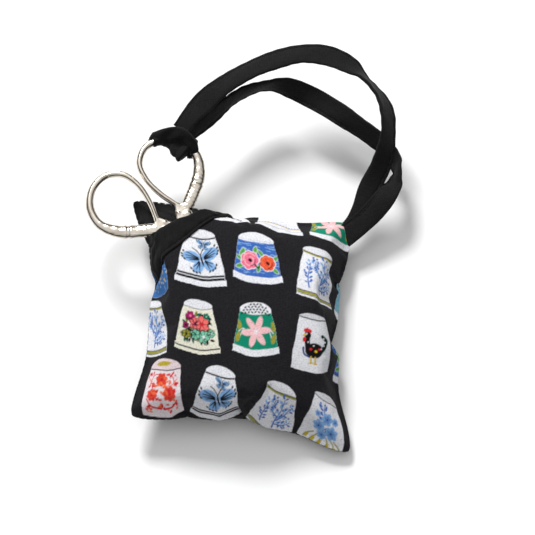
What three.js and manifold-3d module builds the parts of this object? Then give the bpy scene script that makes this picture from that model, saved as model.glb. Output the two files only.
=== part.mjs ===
// A pin cushion with a full-width scissor pocket on its front, a folded fabric strap that is sewn into
// one corner, and a pair of embroidery scissors that the strap ties on by a girth hitch.
// Millimetres, +Z up. The origin is the middle of the flat patch that the cushion rests on, +X runs
// along the cushion's width and +Y towards the edge where the strap leaves it.

import * as THREE from "three";
import { mergeVertices } from "three/addons/utils/BufferGeometryUtils.js";
import Module from "manifold-3d";

const wasm = await Module();
wasm.setup();

// ---- driving dimensions ----

const CORNERS = {
  topLeft: [-44, 44, 14],
  topRight: [38.7, 42.5, 8.5],
  bottomLeft: [-37.3, -39, 13],
  bottomRight: [42.8, -44.8, 4],
}; // where the seam's four corners lie, with their heights
const PULL_IN = { left: 7, right: 6, top: 3, bottom: 4 }; // how far each side bows inwards at its middle
const SEAM_RISE = 1.5; // how much the seam's middles stand above the line between its corners
const GRID = 20; // grid steps along each side of a panel

const CLOTH = 0.8; // a panel's modelled thickness
const POCKET_CLOTH = 0.7;

// Each surface stands rim above the seam at its edge and rises towards its middle. A higher power
// makes squarer shoulders, and cap or floor levels the middle.
const POCKET_CROWN = { rim: 2.2, rise: 20, power: 9, cap: 28.3 };
const BASE_CROWN = { rim: 0.8, rise: 18, power: 5, cap: 20.9 };
const BACK_CROWN = { rim: -1.2, rise: -14, power: 5, floor: 0 };
const FILLING_TOP = { rim: -0.9, rise: 16.5, power: 5, cap: 19.5 };
const FILLING_UNDER = { rim: 0.4, rise: -13, power: 5, floor: 1.3 };
const BASE_INSET = 0.97; // the base panel's outline as a share of the cushion's
const FILLING_INSET = 0.92;
const CAP_BLEND = 0.35; // how softly a crown meets its flat top

const THREAD_RADIUS = 0.35;
const THREAD_INSET = 0.99;

const STRAP_WIDTH = 8.3;
const STRAP_THICK = 1.4;

const PIVOT = [-21.4, 27.1, 23.2];
const SCISSORS_TURN = THREE.MathUtils.degToRad(-48); // the blades point right and towards -Y
const BOW_HALF_THICK = 1.5;
const SHANK_HALF_THICK = 1.3;
const LAYER_GAP = 0.06; // half of the gap between the two blades
const BLADE_THICK = 1.22;
const TIP_REACH = 47; // pivot to blade tip
const SCREW_RADIUS = 1.2;
const SCREW_GAP = 0.25;
const HEAD_RADIUS = 2.5;
const HEAD_THICK = 0.45;

// ---- helpers ----

const lerp = THREE.MathUtils.lerp;

function softMin(a, b, k) {
  return -k * Math.log(Math.exp(-a / k) + Math.exp(-b / k));
}

function geometryFrom(points, faces) {
  const positions = points.flatMap((p) => [p.x, p.y, p.z]);
  return new THREE.BufferGeometry()
    .setAttribute("position", new THREE.Float32BufferAttribute(positions, 3))
    .setIndex(faces.flat());
}

function toSolid(geometry) {
  const bare = geometry.clone();
  for (const name of ["normal", "uv"]) bare.deleteAttribute(name);
  const merged = mergeVertices(bare, 1e-4);
  return new wasm.Manifold(
    new wasm.Mesh({
      numProp: 3,
      vertProperties: new Float32Array(merged.attributes.position.array),
      triVerts: new Uint32Array(merged.index.array),
    }),
  );
}

function fromSolid(solid) {
  const mesh = solid.getMesh();
  return new THREE.BufferGeometry()
    .setAttribute("position", new THREE.Float32BufferAttribute(mesh.vertProperties, 3))
    .setIndex(new THREE.BufferAttribute(mesh.triVerts, 1));
}

// A closed solid through a row of rings of points. An open row gets end caps.
function sweep(rings, closed = false) {
  const count = rings[0].length;
  const faces = [];
  const steps = closed ? rings.length : rings.length - 1;
  for (let i = 0; i < steps; i++) {
    const a = i * count;
    const b = ((i + 1) % rings.length) * count;
    for (let j = 0; j < count; j++) {
      const k = (j + 1) % count;
      faces.push([a + j, a + k, b + k], [a + j, b + k, b + j]);
    }
  }
  if (!closed) {
    const last = (rings.length - 1) * count;
    for (const [p, q, r] of capFaces(rings[0])) faces.push([r, q, p]);
    for (const [p, q, r] of capFaces(rings[rings.length - 1])) faces.push([last + p, last + q, last + r]);
  }
  const geometry = geometryFrom(rings.flat(), faces);
  if (signedVolume(geometry) < 0) {
    const index = geometry.index.array;
    for (let i = 0; i < index.length; i += 3) [index[i + 1], index[i + 2]] = [index[i + 2], index[i + 1]];
  }
  return geometry;
}

// Triangles over one ring, found in the ring's own plane.
function capFaces(ring) {
  const centre = ring.reduce((sum, p) => sum.clone().add(p), new THREE.Vector3()).divideScalar(ring.length);
  const normal = new THREE.Vector3();
  ring.forEach((p, i) => {
    const q = ring[(i + 1) % ring.length];
    normal.add(p.clone().sub(centre).cross(q.clone().sub(centre)));
  });
  normal.normalize();
  const across = ring[1].clone().sub(ring[0]).projectOnPlane(normal).normalize();
  const up = normal.clone().cross(across);
  const flat = ring.map((p) => {
    const q = p.clone().sub(centre);
    return new THREE.Vector2(q.dot(across), q.dot(up));
  });
  return THREE.ShapeUtils.triangulateShape(flat, []);
}

function signedVolume(geometry) {
  const at = geometry.attributes.position;
  const index = geometry.index.array;
  const [a, b, c] = [new THREE.Vector3(), new THREE.Vector3(), new THREE.Vector3()];
  let sum = 0;
  for (let i = 0; i < index.length; i += 3) {
    a.fromBufferAttribute(at, index[i]);
    b.fromBufferAttribute(at, index[i + 1]);
    c.fromBufferAttribute(at, index[i + 2]);
    sum += a.dot(b.cross(c));
  }
  return sum;
}

function bezier(a, control, b, t) {
  return [0, 1].map((i) => (1 - t) ** 2 * a[i] + 2 * t * (1 - t) * control[i] + t * t * b[i]);
}

// ---- the cushion's surfaces, over u and v from -1 to 1 ----

// The seam surface: where a point of the flat pattern lies, and the seam's height there.
function seamAt(u, v) {
  const mix = (i) =>
    lerp(
      lerp(CORNERS.bottomLeft[i], CORNERS.bottomRight[i], (1 + u) / 2),
      lerp(CORNERS.topLeft[i], CORNERS.topRight[i], (1 + u) / 2),
      (1 + v) / 2,
    );
  return new THREE.Vector3(
    mix(0) + lerp(PULL_IN.left, -PULL_IN.right, (1 + u) / 2) * (1 - v * v),
    mix(1) + lerp(PULL_IN.bottom, -PULL_IN.top, (1 + v) / 2) * (1 - u * u),
    mix(2) + SEAM_RISE * (1 - u * u * v * v),
  );
}

// How full the stuffing is, from 0 on the seam to 1 in the middle.
function fullness(u, v, power) {
  const profile = (t) => 1 - Math.abs(t) ** power;
  return profile(u) * profile(v);
}

function crowned(crown, inset = 1) {
  return (u, v) => {
    const p = seamAt(u * inset, v * inset);
    p.z += crown.rim + crown.rise * fullness(u, v, crown.power);
    if (crown.cap !== undefined) p.z = softMin(p.z, crown.cap, CAP_BLEND);
    if (crown.floor !== undefined) p.z = Math.max(p.z, crown.floor);
    return p;
  };
}

const pocketTop = crowned(POCKET_CROWN);
const baseTop = crowned(BASE_CROWN, BASE_INSET);
const backUnder = crowned(BACK_CROWN);

// The same surface moved by a distance along its own normal, which points up.
function offset(surface, distance) {
  const step = 0.01;
  return (u, v) => {
    const du = surface(Math.min(u + step, 1), v).sub(surface(Math.max(u - step, -1), v));
    const dv = surface(u, Math.min(v + step, 1)).sub(surface(u, Math.max(v - step, -1)));
    return surface(u, v).addScaledVector(du.cross(dv).normalize(), distance);
  };
}

// A closed solid between two surfaces, with a wall round the rim.
function between(top, under) {
  const at = (i) => Math.sin((Math.PI / 2) * ((2 * i) / GRID - 1));
  const points = [];
  for (const surface of [top, under])
    for (let i = 0; i <= GRID; i++) for (let j = 0; j <= GRID; j++) points.push(surface(at(i), at(j)));
  const id = (layer, i, j) => layer * (GRID + 1) ** 2 + i * (GRID + 1) + j;
  const faces = [];
  for (let i = 0; i < GRID; i++)
    for (let j = 0; j < GRID; j++) {
      const [a, b, c, d] = [[i, j], [i + 1, j], [i + 1, j + 1], [i, j + 1]];
      faces.push([id(0, ...a), id(0, ...b), id(0, ...c)], [id(0, ...a), id(0, ...c), id(0, ...d)]);
      faces.push([id(1, ...a), id(1, ...c), id(1, ...b)], [id(1, ...a), id(1, ...d), id(1, ...c)]);
    }
  const wall = (p, q) => {
    faces.push([id(0, ...q), id(0, ...p), id(1, ...p)], [id(0, ...q), id(1, ...p), id(1, ...q)]);
  };
  for (let i = 0; i < GRID; i++) {
    wall([i, 0], [i + 1, 0]);
    wall([i + 1, GRID], [i, GRID]);
    wall([GRID, i], [GRID, i + 1]);
    wall([0, i + 1], [0, i]);
  }
  return geometryFrom(points, faces);
}

// ---- cushion ----

const backPanel = () => between(offset(backUnder, CLOTH), backUnder);
const basePanel = () => between(baseTop, offset(baseTop, -CLOTH));
const filling = () => between(crowned(FILLING_TOP, FILLING_INSET), crowned(FILLING_UNDER, FILLING_INSET));

// The pocket's mouth cuts off the top left corner. The binding lies from its outer line to its inner
// line, and the panel's raw edge ends a little inside the fold.
const MOUTH = { outer: [[-0.14, 1], [-0.62, 0.94], [-1, 0.42]], inner: [[0.06, 1], [-0.46, 0.76], [-1, 0.16]] };
const RAW_EDGE = 0.46;
const FOLD_WEB = 0.06;
const MOUTH_STEPS = 24;

function mouthAt(along, across) {
  const a = bezier(...MOUTH.outer, along);
  const b = bezier(...MOUTH.inner, along);
  return [lerp(a[0], b[0], across), lerp(a[1], b[1], across)];
}

function pocketPanel() {
  const whole = toSolid(between(pocketTop, offset(pocketTop, -POCKET_CLOTH)));
  const outline = new THREE.Shape();
  for (let i = 0; i <= MOUTH_STEPS; i++) {
    const p = seamAt(...mouthAt(i / MOUTH_STEPS, RAW_EDGE));
    if (i === 0) outline.moveTo(p.x + 2, p.y + 10);
    outline.lineTo(p.x, p.y);
  }
  outline.lineTo(-60, 0);
  outline.lineTo(-60, 60);
  const corner = new THREE.ExtrudeGeometry(outline, { depth: 60, bevelEnabled: false });
  return fromSolid(whole.subtract(toSolid(corner)));
}

// Bias tape folded over the raw edge: a U section that follows the panel.
function pocketBinding() {
  const leg = 0.4;
  const room = 0.85;
  const layers = {
    underLow: offset(pocketTop, -POCKET_CLOTH - room - leg),
    underHigh: offset(pocketTop, -POCKET_CLOTH - room),
    overLow: offset(pocketTop, room),
    overHigh: offset(pocketTop, room + leg),
  };
  const rings = [];
  const first = 0.09;
  for (let i = 0; i <= MOUTH_STEPS; i++) {
    const along = lerp(first, 1 - first, i / MOUTH_STEPS);
    const row = (layer, stops) => stops.map((across) => layers[layer](...mouthAt(along, across)));
    const outside = [0, 0.25, 0.5, 0.75, 1];
    const inside = [FOLD_WEB, 0.25, 0.5, 0.75, 1];
    rings.push([
      ...row("underLow", outside),
      ...row("underHigh", inside).reverse(),
      ...row("overLow", inside),
      ...row("overHigh", outside).reverse(),
    ]);
  }
  return sweep(rings);
}

// The lock stitch that holds the panels together, as one thread round the seam.
function seamThread() {
  const perSide = 14;
  const sides = 6;
  const path = [];
  const corners = [[-1, -1], [1, -1], [1, 1], [-1, 1]];
  corners.forEach(([u0, v0], k) => {
    const [u1, v1] = corners[(k + 1) % 4];
    for (let i = 0; i < perSide; i++) {
      const t = i / perSide;
      const p = seamAt(lerp(u0, u1, t) * THREAD_INSET, lerp(v0, v1, t) * THREAD_INSET);
      p.z += 0.3;
      path.push(p);
    }
  });
  const rings = path.map((p, i) => {
    const ahead = path[(i + 1) % path.length].clone().sub(path[(i + path.length - 1) % path.length]);
    return ringAround(p, ahead, THREAD_RADIUS, THREAD_RADIUS, new THREE.Vector3(0, 0, 1), sides);
  });
  return sweep(rings, true);
}

// A ring of points round a path: wide along the side axis and thick along the up axis.
function ringAround(centre, ahead, halfWide, halfThick, up, sides) {
  const side = ahead.clone().cross(up).normalize();
  const top = side.clone().cross(ahead).normalize();
  return Array.from({ length: sides }, (_, i) => {
    const angle = (2 * Math.PI * i) / sides;
    return centre
      .clone()
      .addScaledVector(side, halfWide * Math.cos(angle))
      .addScaledVector(top, halfThick * Math.sin(angle));
  });
}

// ---- scissors, in a frame of their own: the pivot is the origin and the blades point along +X ----

// One bow's centre line as x, y and half width, from the inner leg round to the shank. side is +1 or -1.
const BOW = [
  [-13, 4.9, 0.95], [-21, 2.55, 1.05], [-29, 1.9, 1.1], [-35.6, 3.8, 1.25], [-39.3, 9.3, 1.35],
  [-38.3, 15.7, 1.45], [-32.8, 21.3, 1.6], [-25, 22.6, 1.65], [-18.7, 19, 2], [-14.2, 13.2, 2.1],
  [-10.6, 7, 2.3],
];
const BOW_STEPS = 36;
const BOW_SIDES = 10;

function bowCurve(side) {
  return new THREE.CatmullRomCurve3(BOW.map(([x, y, half]) => new THREE.Vector3(x, side * y, half)));
}

function bowRings(side, grow = 0, from = 0, to = 1, steps = BOW_STEPS) {
  const curve = bowCurve(side);
  const up = new THREE.Vector3(0, 0, 1);
  return Array.from({ length: steps + 1 }, (_, i) => {
    const t = lerp(from, to, i / steps);
    const p = curve.getPoint(t);
    const ahead = curve.getTangent(t);
    const half = p.z + grow;
    p.z = 0;
    ahead.z = 0;
    return ringAround(p, ahead, half, BOW_HALF_THICK + grow, up, BOW_SIDES);
  });
}

function plate(outline, low, high) {
  const shape = new THREE.Shape(outline.map(([x, y]) => new THREE.Vector2(x, y)));
  const geometry = new THREE.ExtrudeGeometry(shape, { depth: high - low, bevelEnabled: false });
  return toSolid(geometry.translate(0, 0, low));
}

function disc(radius, low, high, segments = 24) {
  const geometry = new THREE.CylinderGeometry(radius, radius, high - low, segments);
  return toSolid(geometry.rotateX(Math.PI / 2).translate(0, 0, (low + high) / 2));
}

// One half: a bow, a shank at full thickness, and a half-thick layer with the boss and the blade.
// side is the side of its bow, and the blade's back lies on the other side. level is +1 for the upper blade.
function scissorHalf(side, level) {
  const mirror = (points) => points.map(([x, y]) => [x, side * y]);
  const facing = (points) => (side > 0 ? points : [...points].reverse());
  const shank = plate(
    facing(mirror([[-14.2, 4.2], [-8.2, 0.7], [-6, 0.7], [-5, 3.2], [-8.6, 7.2], [-11.6, 8.4]])),
    -SHANK_HALF_THICK,
    SHANK_HALF_THICK,
  );
  const low = level > 0 ? LAYER_GAP : -LAYER_GAP - BLADE_THICK;
  const high = low + BLADE_THICK;
  const neck = plate(facing(mirror([[-8, 0.9], [0, -3.6], [3, -1], [0, 3.6], [-5.6, 3.9]])), low, high);
  const blade = plate(
    facing(mirror([
      [-1, 3.3], [-2.4, -2.6], [1, -3.7], [6, -3.3], [22, -2.7], [36, -1.8], [TIP_REACH, 0.1], [36, 0.9],
      [22, 1.4], [6, 2],
    ])),
    low,
    high,
  );
  return toSolid(sweep(bowRings(side)))
    .add(shank)
    .add(neck)
    .add(disc(3.7, low, high))
    .add(blade)
    .subtract(disc(SCREW_RADIUS + SCREW_GAP, low - 1, high + 1));
}

// A slotted screw: its head stands on the upper half and its shaft ends flush with the lower one.
function pivotScrew() {
  const headLow = LAYER_GAP + BLADE_THICK + 0.12;
  const slot = plate([[-3, -0.3], [3, -0.3], [3, 0.3], [-3, 0.3]], headLow + HEAD_THICK / 2, headLow + 2);
  return disc(SCREW_RADIUS, -LAYER_GAP - BLADE_THICK, headLow + 0.1)
    .add(disc(HEAD_RADIUS, headLow, headLow + HEAD_THICK))
    .subtract(slot);
}

// The girth hitch: gathered strap cloth all round a stretch of the right bow.
const HITCH = { from: 0.44, to: 0.63, inside: 3.2, outside: 5.2, halfThick: 3.1, clear: 0.35 };

function strapHitch() {
  const curve = bowCurve(1);
  const steps = 8;
  const edge = (distance) =>
    Array.from({ length: steps + 1 }, (_, i) => {
      const t = lerp(HITCH.from, HITCH.to, i / steps);
      const p = curve.getPoint(t);
      const ahead = curve.getTangent(t);
      const out = new THREE.Vector2(ahead.y, -ahead.x).normalize();
      return [p.x - out.x * distance, p.y - out.y * distance];
    });
  const block = plate(
    [...edge(HITCH.outside), ...edge(-HITCH.inside).reverse()].reverse(),
    -HITCH.halfThick,
    HITCH.halfThick,
  );
  const wire = toSolid(sweep(bowRings(1, HITCH.clear, HITCH.from - 0.08, HITCH.to + 0.08, 16)));
  return block.subtract(wire);
}

// ---- strap: two runs of one folded tape, each as its route and the way its width points ----

const UPPER_RUN = [
  { at: [37.8, 44.3, 12.3], wide: [0.92, -0.36, -0.15] },
  { at: [43.7, 55, 15.8], wide: [0.93, -0.34, -0.15] },
  { at: [48.2, 63.9, 19.6], wide: [0.91, -0.02, -0.42] },
  { at: [49.7, 70.8, 24.3], wide: [0.73, 0.19, -0.65] },
  { at: [49.9, 75.9, 26.4], wide: [0.61, 0.35, -0.71] },
  { at: [49.2, 80.5, 27.8], wide: [0.61, 0.31, -0.73] },
  { at: [46.8, 86.2, 28.5], wide: [0.55, 0.19, -0.81] },
  { at: [39.9, 93.6, 30], wide: [0.07, 0.57, -0.82] },
  { at: [33.9, 98.2, 30.5], wide: [0.07, 0.95, -0.29] },
  { at: [26.3, 101.5, 30.5], wide: [-0.07, 0.98, -0.1] },
  { at: [15.4, 102.1, 30.5], wide: [-0.2, 0.96, -0.21] },
  { at: [4.9, 98.5, 30.5], wide: [-0.34, 0.92, -0.21] },
  { at: [-5, 93.3, 30.5], wide: [-0.42, 0.85, -0.31] },
  { at: [-13, 87.3, 30], wide: [-0.55, 0.81, -0.2] },
  { at: [-19.4, 80.9, 29.3], wide: [-0.73, 0.68, 0] },
  { at: [-25, 73.4, 28], wide: [-0.77, 0.64, 0] },
];
const LOWER_RUN = [
  { at: [41, 43.6, 9.4], wide: [0.75, -0.61, -0.24] },
  { at: [44, 47.2, 10.6], wide: [0.71, -0.66, -0.26] },
  { at: [48.2, 51.2, 12], wide: [0.7, -0.67, -0.1] },
  { at: [51.3, 54.9, 13.5], wide: [0.63, -0.66, 0.41] },
  { at: [53.9, 59.1, 15], wide: [0.48, -0.46, 0.75] },
  { at: [54.5, 62.9, 15.6], wide: [0.25, -0.37, 0.91] },
  { at: [54, 65.6, 15.2], wide: [0.42, -0.15, 0.9] },
  { at: [52.5, 69, 15], wide: [0.45, 0.04, 0.89] },
  { at: [49.5, 72.2, 15.6], wide: [0.39, 0.23, 0.89] },
  { at: [45.5, 75.3, 16.4], wide: [0.38, 0.4, 0.84] },
  { at: [37.4, 80.1, 18], wide: [0.42, 0.47, 0.78] },
  { at: [29.7, 84.4, 19], wide: [0.42, 0.86, 0.3] },
  { at: [19.5, 89.6, 19.5], wide: [0.32, 0.89, 0.32] },
  { at: [12, 92.3, 20], wide: [0.46, 0.52, 0.72] },
  { at: [1.9, 91.9, 21], wide: [0, -0.03, 1] },
  { at: [-9.8, 85, 21.4], wide: [-0.18, 0.01, 0.98] },
  { at: [-15.4, 79.6, 21.4], wide: [-0.37, 0.12, 0.92] },
  { at: [-21.3, 73.6, 21], wide: [-0.42, 0.1, 0.9] },
];
const STRAP_STEPS = 48;

function ribbon(route) {
  const path = new THREE.CatmullRomCurve3(route.map((r) => new THREE.Vector3(...r.at)), false, "centripetal");
  const width = new THREE.CatmullRomCurve3(route.map((r) => new THREE.Vector3(...r.wide)));
  const rings = Array.from({ length: STRAP_STEPS + 1 }, (_, i) => {
    const t = i / STRAP_STEPS;
    const ahead = path.getTangent(t);
    const wide = width.getPoint(t).projectOnPlane(ahead).normalize().multiplyScalar(STRAP_WIDTH / 2);
    const thick = ahead.clone().cross(wide).normalize().multiplyScalar(STRAP_THICK / 2);
    const corner = (a, b) => path.getPoint(t).addScaledVector(wide, a).addScaledVector(thick, b);
    return [corner(-1, -1), corner(1, -1), corner(1, 1), corner(-1, 1)];
  });
  return sweep(rings);
}

// ---- materials ----

const blackCotton = new THREE.MeshStandardMaterial({ color: 0x1b1a1f, roughness: 0.92, metalness: 0 });
const printedCotton = new THREE.MeshStandardMaterial({ color: 0x24222a, roughness: 0.88, metalness: 0 });
const blackTape = new THREE.MeshStandardMaterial({ color: 0x151418, roughness: 0.85, metalness: 0 });
const stuffing = new THREE.MeshStandardMaterial({ color: 0xe9e4d8, roughness: 1, metalness: 0 });
const thread = new THREE.MeshStandardMaterial({ color: 0x101013, roughness: 0.6, metalness: 0 });
const nickelSteel = new THREE.MeshStandardMaterial({ color: 0xcfc6b8, roughness: 0.22, metalness: 1 });

function named(name, shape, material) {
  const mesh = new THREE.Mesh(shape.isBufferGeometry ? shape : fromSolid(shape), material);
  mesh.name = name;
  return mesh;
}

// ---- assembly ----

const cushion = new THREE.Group();
cushion.add(
  named("back_panel", backPanel(), blackCotton),
  named("filling", filling(), stuffing),
  named("base_panel", basePanel(), blackCotton),
  named("pocket_panel", pocketPanel(), printedCotton),
  named("pocket_binding", pocketBinding(), blackTape),
  named("seam_thread", seamThread(), thread),
  named("strap_upper_run", ribbon(UPPER_RUN), blackTape),
  named("strap_lower_run", ribbon(LOWER_RUN), blackTape),
);

const scissors = new THREE.Group();
scissors.position.set(...PIVOT);
scissors.rotation.z = SCISSORS_TURN;
scissors.add(
  named("scissor_half_left", scissorHalf(-1, 1), nickelSteel),
  named("scissor_half_right", scissorHalf(1, -1), nickelSteel),
  named("pivot_screw", pivotScrew(), nickelSteel),
  named("strap_hitch", strapHitch(), blackTape),
);

const pinCushion = new THREE.Group();
pinCushion.add(cushion, scissors);

export default pinCushion;
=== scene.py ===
"""The looks of the pin cushion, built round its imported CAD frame.

Lengths are in millimetres until make_piece() turns them into metres. u and v run from -1 to 1 over the
cushion's flat cloth, u along +X and v along +Y.
"""

import math

import bmesh
import bpy
import numpy as np
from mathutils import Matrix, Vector


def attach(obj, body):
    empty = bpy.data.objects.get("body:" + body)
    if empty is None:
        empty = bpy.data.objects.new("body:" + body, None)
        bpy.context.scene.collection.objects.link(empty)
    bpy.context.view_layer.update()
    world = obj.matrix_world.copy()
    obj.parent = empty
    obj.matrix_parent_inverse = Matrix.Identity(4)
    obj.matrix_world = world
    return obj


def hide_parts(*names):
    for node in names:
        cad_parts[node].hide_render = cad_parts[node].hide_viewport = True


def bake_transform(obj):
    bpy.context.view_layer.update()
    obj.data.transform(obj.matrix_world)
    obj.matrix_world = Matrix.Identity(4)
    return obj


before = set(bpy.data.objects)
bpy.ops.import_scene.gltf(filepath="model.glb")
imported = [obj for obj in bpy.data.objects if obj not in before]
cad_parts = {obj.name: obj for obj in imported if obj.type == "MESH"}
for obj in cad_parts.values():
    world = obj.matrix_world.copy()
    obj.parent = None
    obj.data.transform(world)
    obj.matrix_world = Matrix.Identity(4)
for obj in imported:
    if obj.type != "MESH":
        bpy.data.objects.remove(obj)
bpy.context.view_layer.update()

MM = 0.001
SEED = 11

# ---- the cushion's shape ----
FLAT_HALF = 46.0  # half of the side of each flat cloth square
CORNERS = {
    "top_left": (-44, 44, 14),
    "top_right": (37.6, 42.5, 8.5),
    "bottom_left": (-37.3, -39, 13),
    "bottom_right": (42.8, -44.8, 4),
}
PULL_IN = {"left": 7, "right": 6, "top": 3, "bottom": 4}  # how far each side bows in
# Where the stuffing leaves a side slack and it nips in further: side, place along it, depth, spread.
NIPS = [
    ("right", -0.5, 3.2, 0.3), ("bottom", 0.46, 4.2, 0.34), ("bottom", -0.15, 2.2, 0.3),
    ("bottom", -0.55, 1.6, 0.3), ("left", -0.45, 1.6, 0.3), ("top", 0.55, 1.8, 0.3),
]
# For each side: the axis that it faces along, and 1 where inwards is up that axis.
SIDES = {"left": (0, 1), "right": (0, -1), "bottom": (1, 1), "top": (1, -1)}
BLOWN_HALF = 41  # half of the blown cushion's side, on average
SEAM_RISE = 1.5  # how much the seam's middles stand above the line between its corners
TOP_HEIGHT, UNDER_HEIGHT = 16.8, 15.0  # of the two crowns, from the seam
REST_HEIGHT, REST_SOFTNESS = 0.15, 0.25  # the lowest cloth, and how softly it meets the table
CLOTH = 0.35  # the pocket panel's thickness

# ---- the scissors' own frame: the pivot is the origin and the blades point along +X ----
PIVOT = np.array([-21.4, 27.1, 23.2])
SCISSORS_TURN = math.radians(-48)
BLADE_AXIS = np.array([math.cos(SCISSORS_TURN), math.sin(SCISSORS_TURN), 0])
SIDE_AXIS = np.array([-math.sin(SCISSORS_TURN), math.cos(SCISSORS_TURN), 0])
UP = np.array([0, 0, 1.0])


# ---- mesh helpers ----


def unit(v):
    v = np.asarray(v, float)
    return v / np.maximum(np.linalg.norm(v, axis=-1, keepdims=True), 1e-9)


def mix(low, high, w):
    return low + (high - low) * w[..., None]


def smooth_max(a, b, k):
    """The larger of two values, rounded off within about k of where they are equal."""
    return k * np.logaddexp(np.asarray(a) / k, np.asarray(b) / k)


def smooth_min(a, b, k):
    return -smooth_max(-np.asarray(a), -np.asarray(b), k)


def bump(t, centre, width):
    """A smooth hump of height 1."""
    return np.exp(-(((t - centre) / width) ** 2))


def wave(t, turns, phase=0.0):
    """A sine that makes this many turns while t goes from 0 to 1."""
    return np.sin(2 * math.pi * turns * t + phase)


def circle(count):
    """Angles evenly round a circle."""
    return np.linspace(0, 2 * math.pi, count, endpoint=False)


def smoothstep(low, high, t):
    s = np.clip((t - low) / (high - low), 0, 1)
    return s * s * (3 - 2 * s)


def catmull(points, t):
    """Points on a smooth curve through a row of points; t runs from 0 to 1, evenly along its chords."""
    p = np.asarray(points, float)
    knots = np.concatenate([[0], np.cumsum(np.linalg.norm(np.diff(p[:, :3], axis=0), axis=1))])
    knots /= knots[-1]
    slopes = np.gradient(p, knots, axis=0)
    t = np.clip(np.asarray(t, float), 0, 1)
    i = np.clip(np.searchsorted(knots, t, side="right") - 1, 0, len(p) - 2)
    step = (knots[i + 1] - knots[i])[..., None]
    s = (t[..., None] - knots[i][..., None]) / step
    rise = 3 * s**2 - 2 * s**3
    bends = (s**3 - 2 * s**2 + s) * slopes[i] + (s**3 - s**2) * slopes[i + 1]
    return p[i] + (p[i + 1] - p[i]) * rise + bends * step


def tangents(path):
    return unit(np.gradient(path, axis=0))


def grid_faces(ids, wrap=False):
    """Quads over a 2-D array of vertex numbers. wrap closes the array's second direction."""
    ids = np.concatenate([ids, ids[:, :1]], axis=1) if wrap else ids
    return np.stack([ids[:-1, :-1], ids[1:, :-1], ids[1:, 1:], ids[:-1, 1:]], -1).reshape(-1, 4)


def tube(rings, closed=False):
    """Points and faces of a solid through rings of points, an array [ring, point, 3]."""
    count, around = rings.shape[:2]
    ids = np.arange(count * around).reshape(count, around)
    faces = [tuple(f) for f in grid_faces(np.concatenate([ids, ids[:1]]) if closed else ids, wrap=True)]
    if not closed:
        faces += [tuple(ids[0]), tuple(ids[-1][::-1])]
    return rings.reshape(-1, 3), faces


def joined(*solids):
    """Several (points, faces) as one."""
    points, faces, base = [], [], 0
    for p, f in solids:
        points.append(np.asarray(p, float))
        faces += [tuple(int(i) + base for i in face) for face in f]
        base += len(p)
    return np.concatenate(points), faces


def plain_object(name, points, faces):
    """A linked object with a mesh of its own, in the units of its points."""
    mesh = bpy.data.meshes.new(name)
    mesh.from_pydata(np.asarray(points).tolist(), [], [tuple(int(i) for i in f) for f in faces])
    made = bpy.data.objects.new(name, mesh)
    bpy.context.scene.collection.objects.link(made)
    return made


def make_piece(name, solid, material, body, replaces=(), uv=None):
    """A finished piece of the object from (points, faces) in millimetres, riding on its body."""
    piece = plain_object(name, np.asarray(solid[0]) * MM, solid[1])
    mesh = piece.data
    mesh.update()
    mesh.shade_smooth()
    mesh.materials.append(material)
    if uv is not None:
        corner_vertices = np.zeros(len(mesh.loops), np.int32)
        mesh.loops.foreach_get("vertex_index", corner_vertices)
        layer = mesh.uv_layers.new(name="cloth")
        layer.data.foreach_set("uv", uv[corner_vertices].astype(np.float32).ravel())
    if body:
        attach(piece, body)
    if replaces:
        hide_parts(*replaces)
    return piece


def outward(piece):
    """Turns the faces of a closed piece to point out."""
    bm = bmesh.new()
    bm.from_mesh(piece.data)
    bmesh.ops.recalc_face_normals(bm, faces=bm.faces)
    bm.to_mesh(piece.data)
    bm.free()
    return piece


# ---- material helpers ----


def new_material(name):
    material = bpy.data.materials.new(name)
    material.use_nodes = True
    return material, material.node_tree, material.node_tree.nodes["Principled BSDF"]


def noise(tree, scale, detail, vector):
    node = tree.nodes.new("ShaderNodeTexNoise")
    node.inputs["Scale"].default_value = scale
    node.inputs["Detail"].default_value = detail
    tree.links.new(vector, node.inputs["Vector"])
    return node.outputs["Fac"]


def feed(tree, socket, value):
    """Gives a socket a number or another node's output."""
    if isinstance(value, (int, float)):
        socket.default_value = value
    else:
        tree.links.new(value, socket)


def math_node(tree, operation, a, b=0.0):
    node = tree.nodes.new("ShaderNodeMath")
    node.operation = operation
    for socket, value in zip(node.inputs, (a, b)):
        feed(tree, socket, value)
    return node.outputs[0]


def plus(tree, a, b, share):
    """a with a share of b added."""
    return math_node(tree, "ADD", a, math_node(tree, "MULTIPLY", b, share))


def ramp(tree, factor, low, high, start=0.0, end=1.0):
    node = tree.nodes.new("ShaderNodeValToRGB")
    for stop, place, colour in zip(node.color_ramp.elements, (start, end), (low, high)):
        stop.position = place
        stop.color = (*colour, 1)
    tree.links.new(factor, node.inputs["Fac"])
    return node.outputs["Color"]


def object_coordinates(tree):
    return tree.nodes.new("ShaderNodeTexCoord").outputs["Object"]


def weave(tree, coordinates, pitch_mm):
    """The height of a plain weave: warp and weft waves that go over and under each other."""
    parts = tree.nodes.new("ShaderNodeSeparateXYZ")
    tree.links.new(coordinates, parts.inputs[0])
    turns = math.pi / (pitch_mm * MM)
    waves = []
    for axis, other in ((0, 1), (1, 0)):
        along = math_node(tree, "SINE", math_node(tree, "MULTIPLY", parts.outputs[axis], turns))
        across = math_node(tree, "SINE", math_node(tree, "MULTIPLY", parts.outputs[other], turns))
        thread_height = math_node(tree, "ADD", across, 1.2)
        waves.append(math_node(tree, "MULTIPLY", math_node(tree, "ABSOLUTE", along), thread_height))
    return math_node(tree, "MAXIMUM", *waves)


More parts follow.
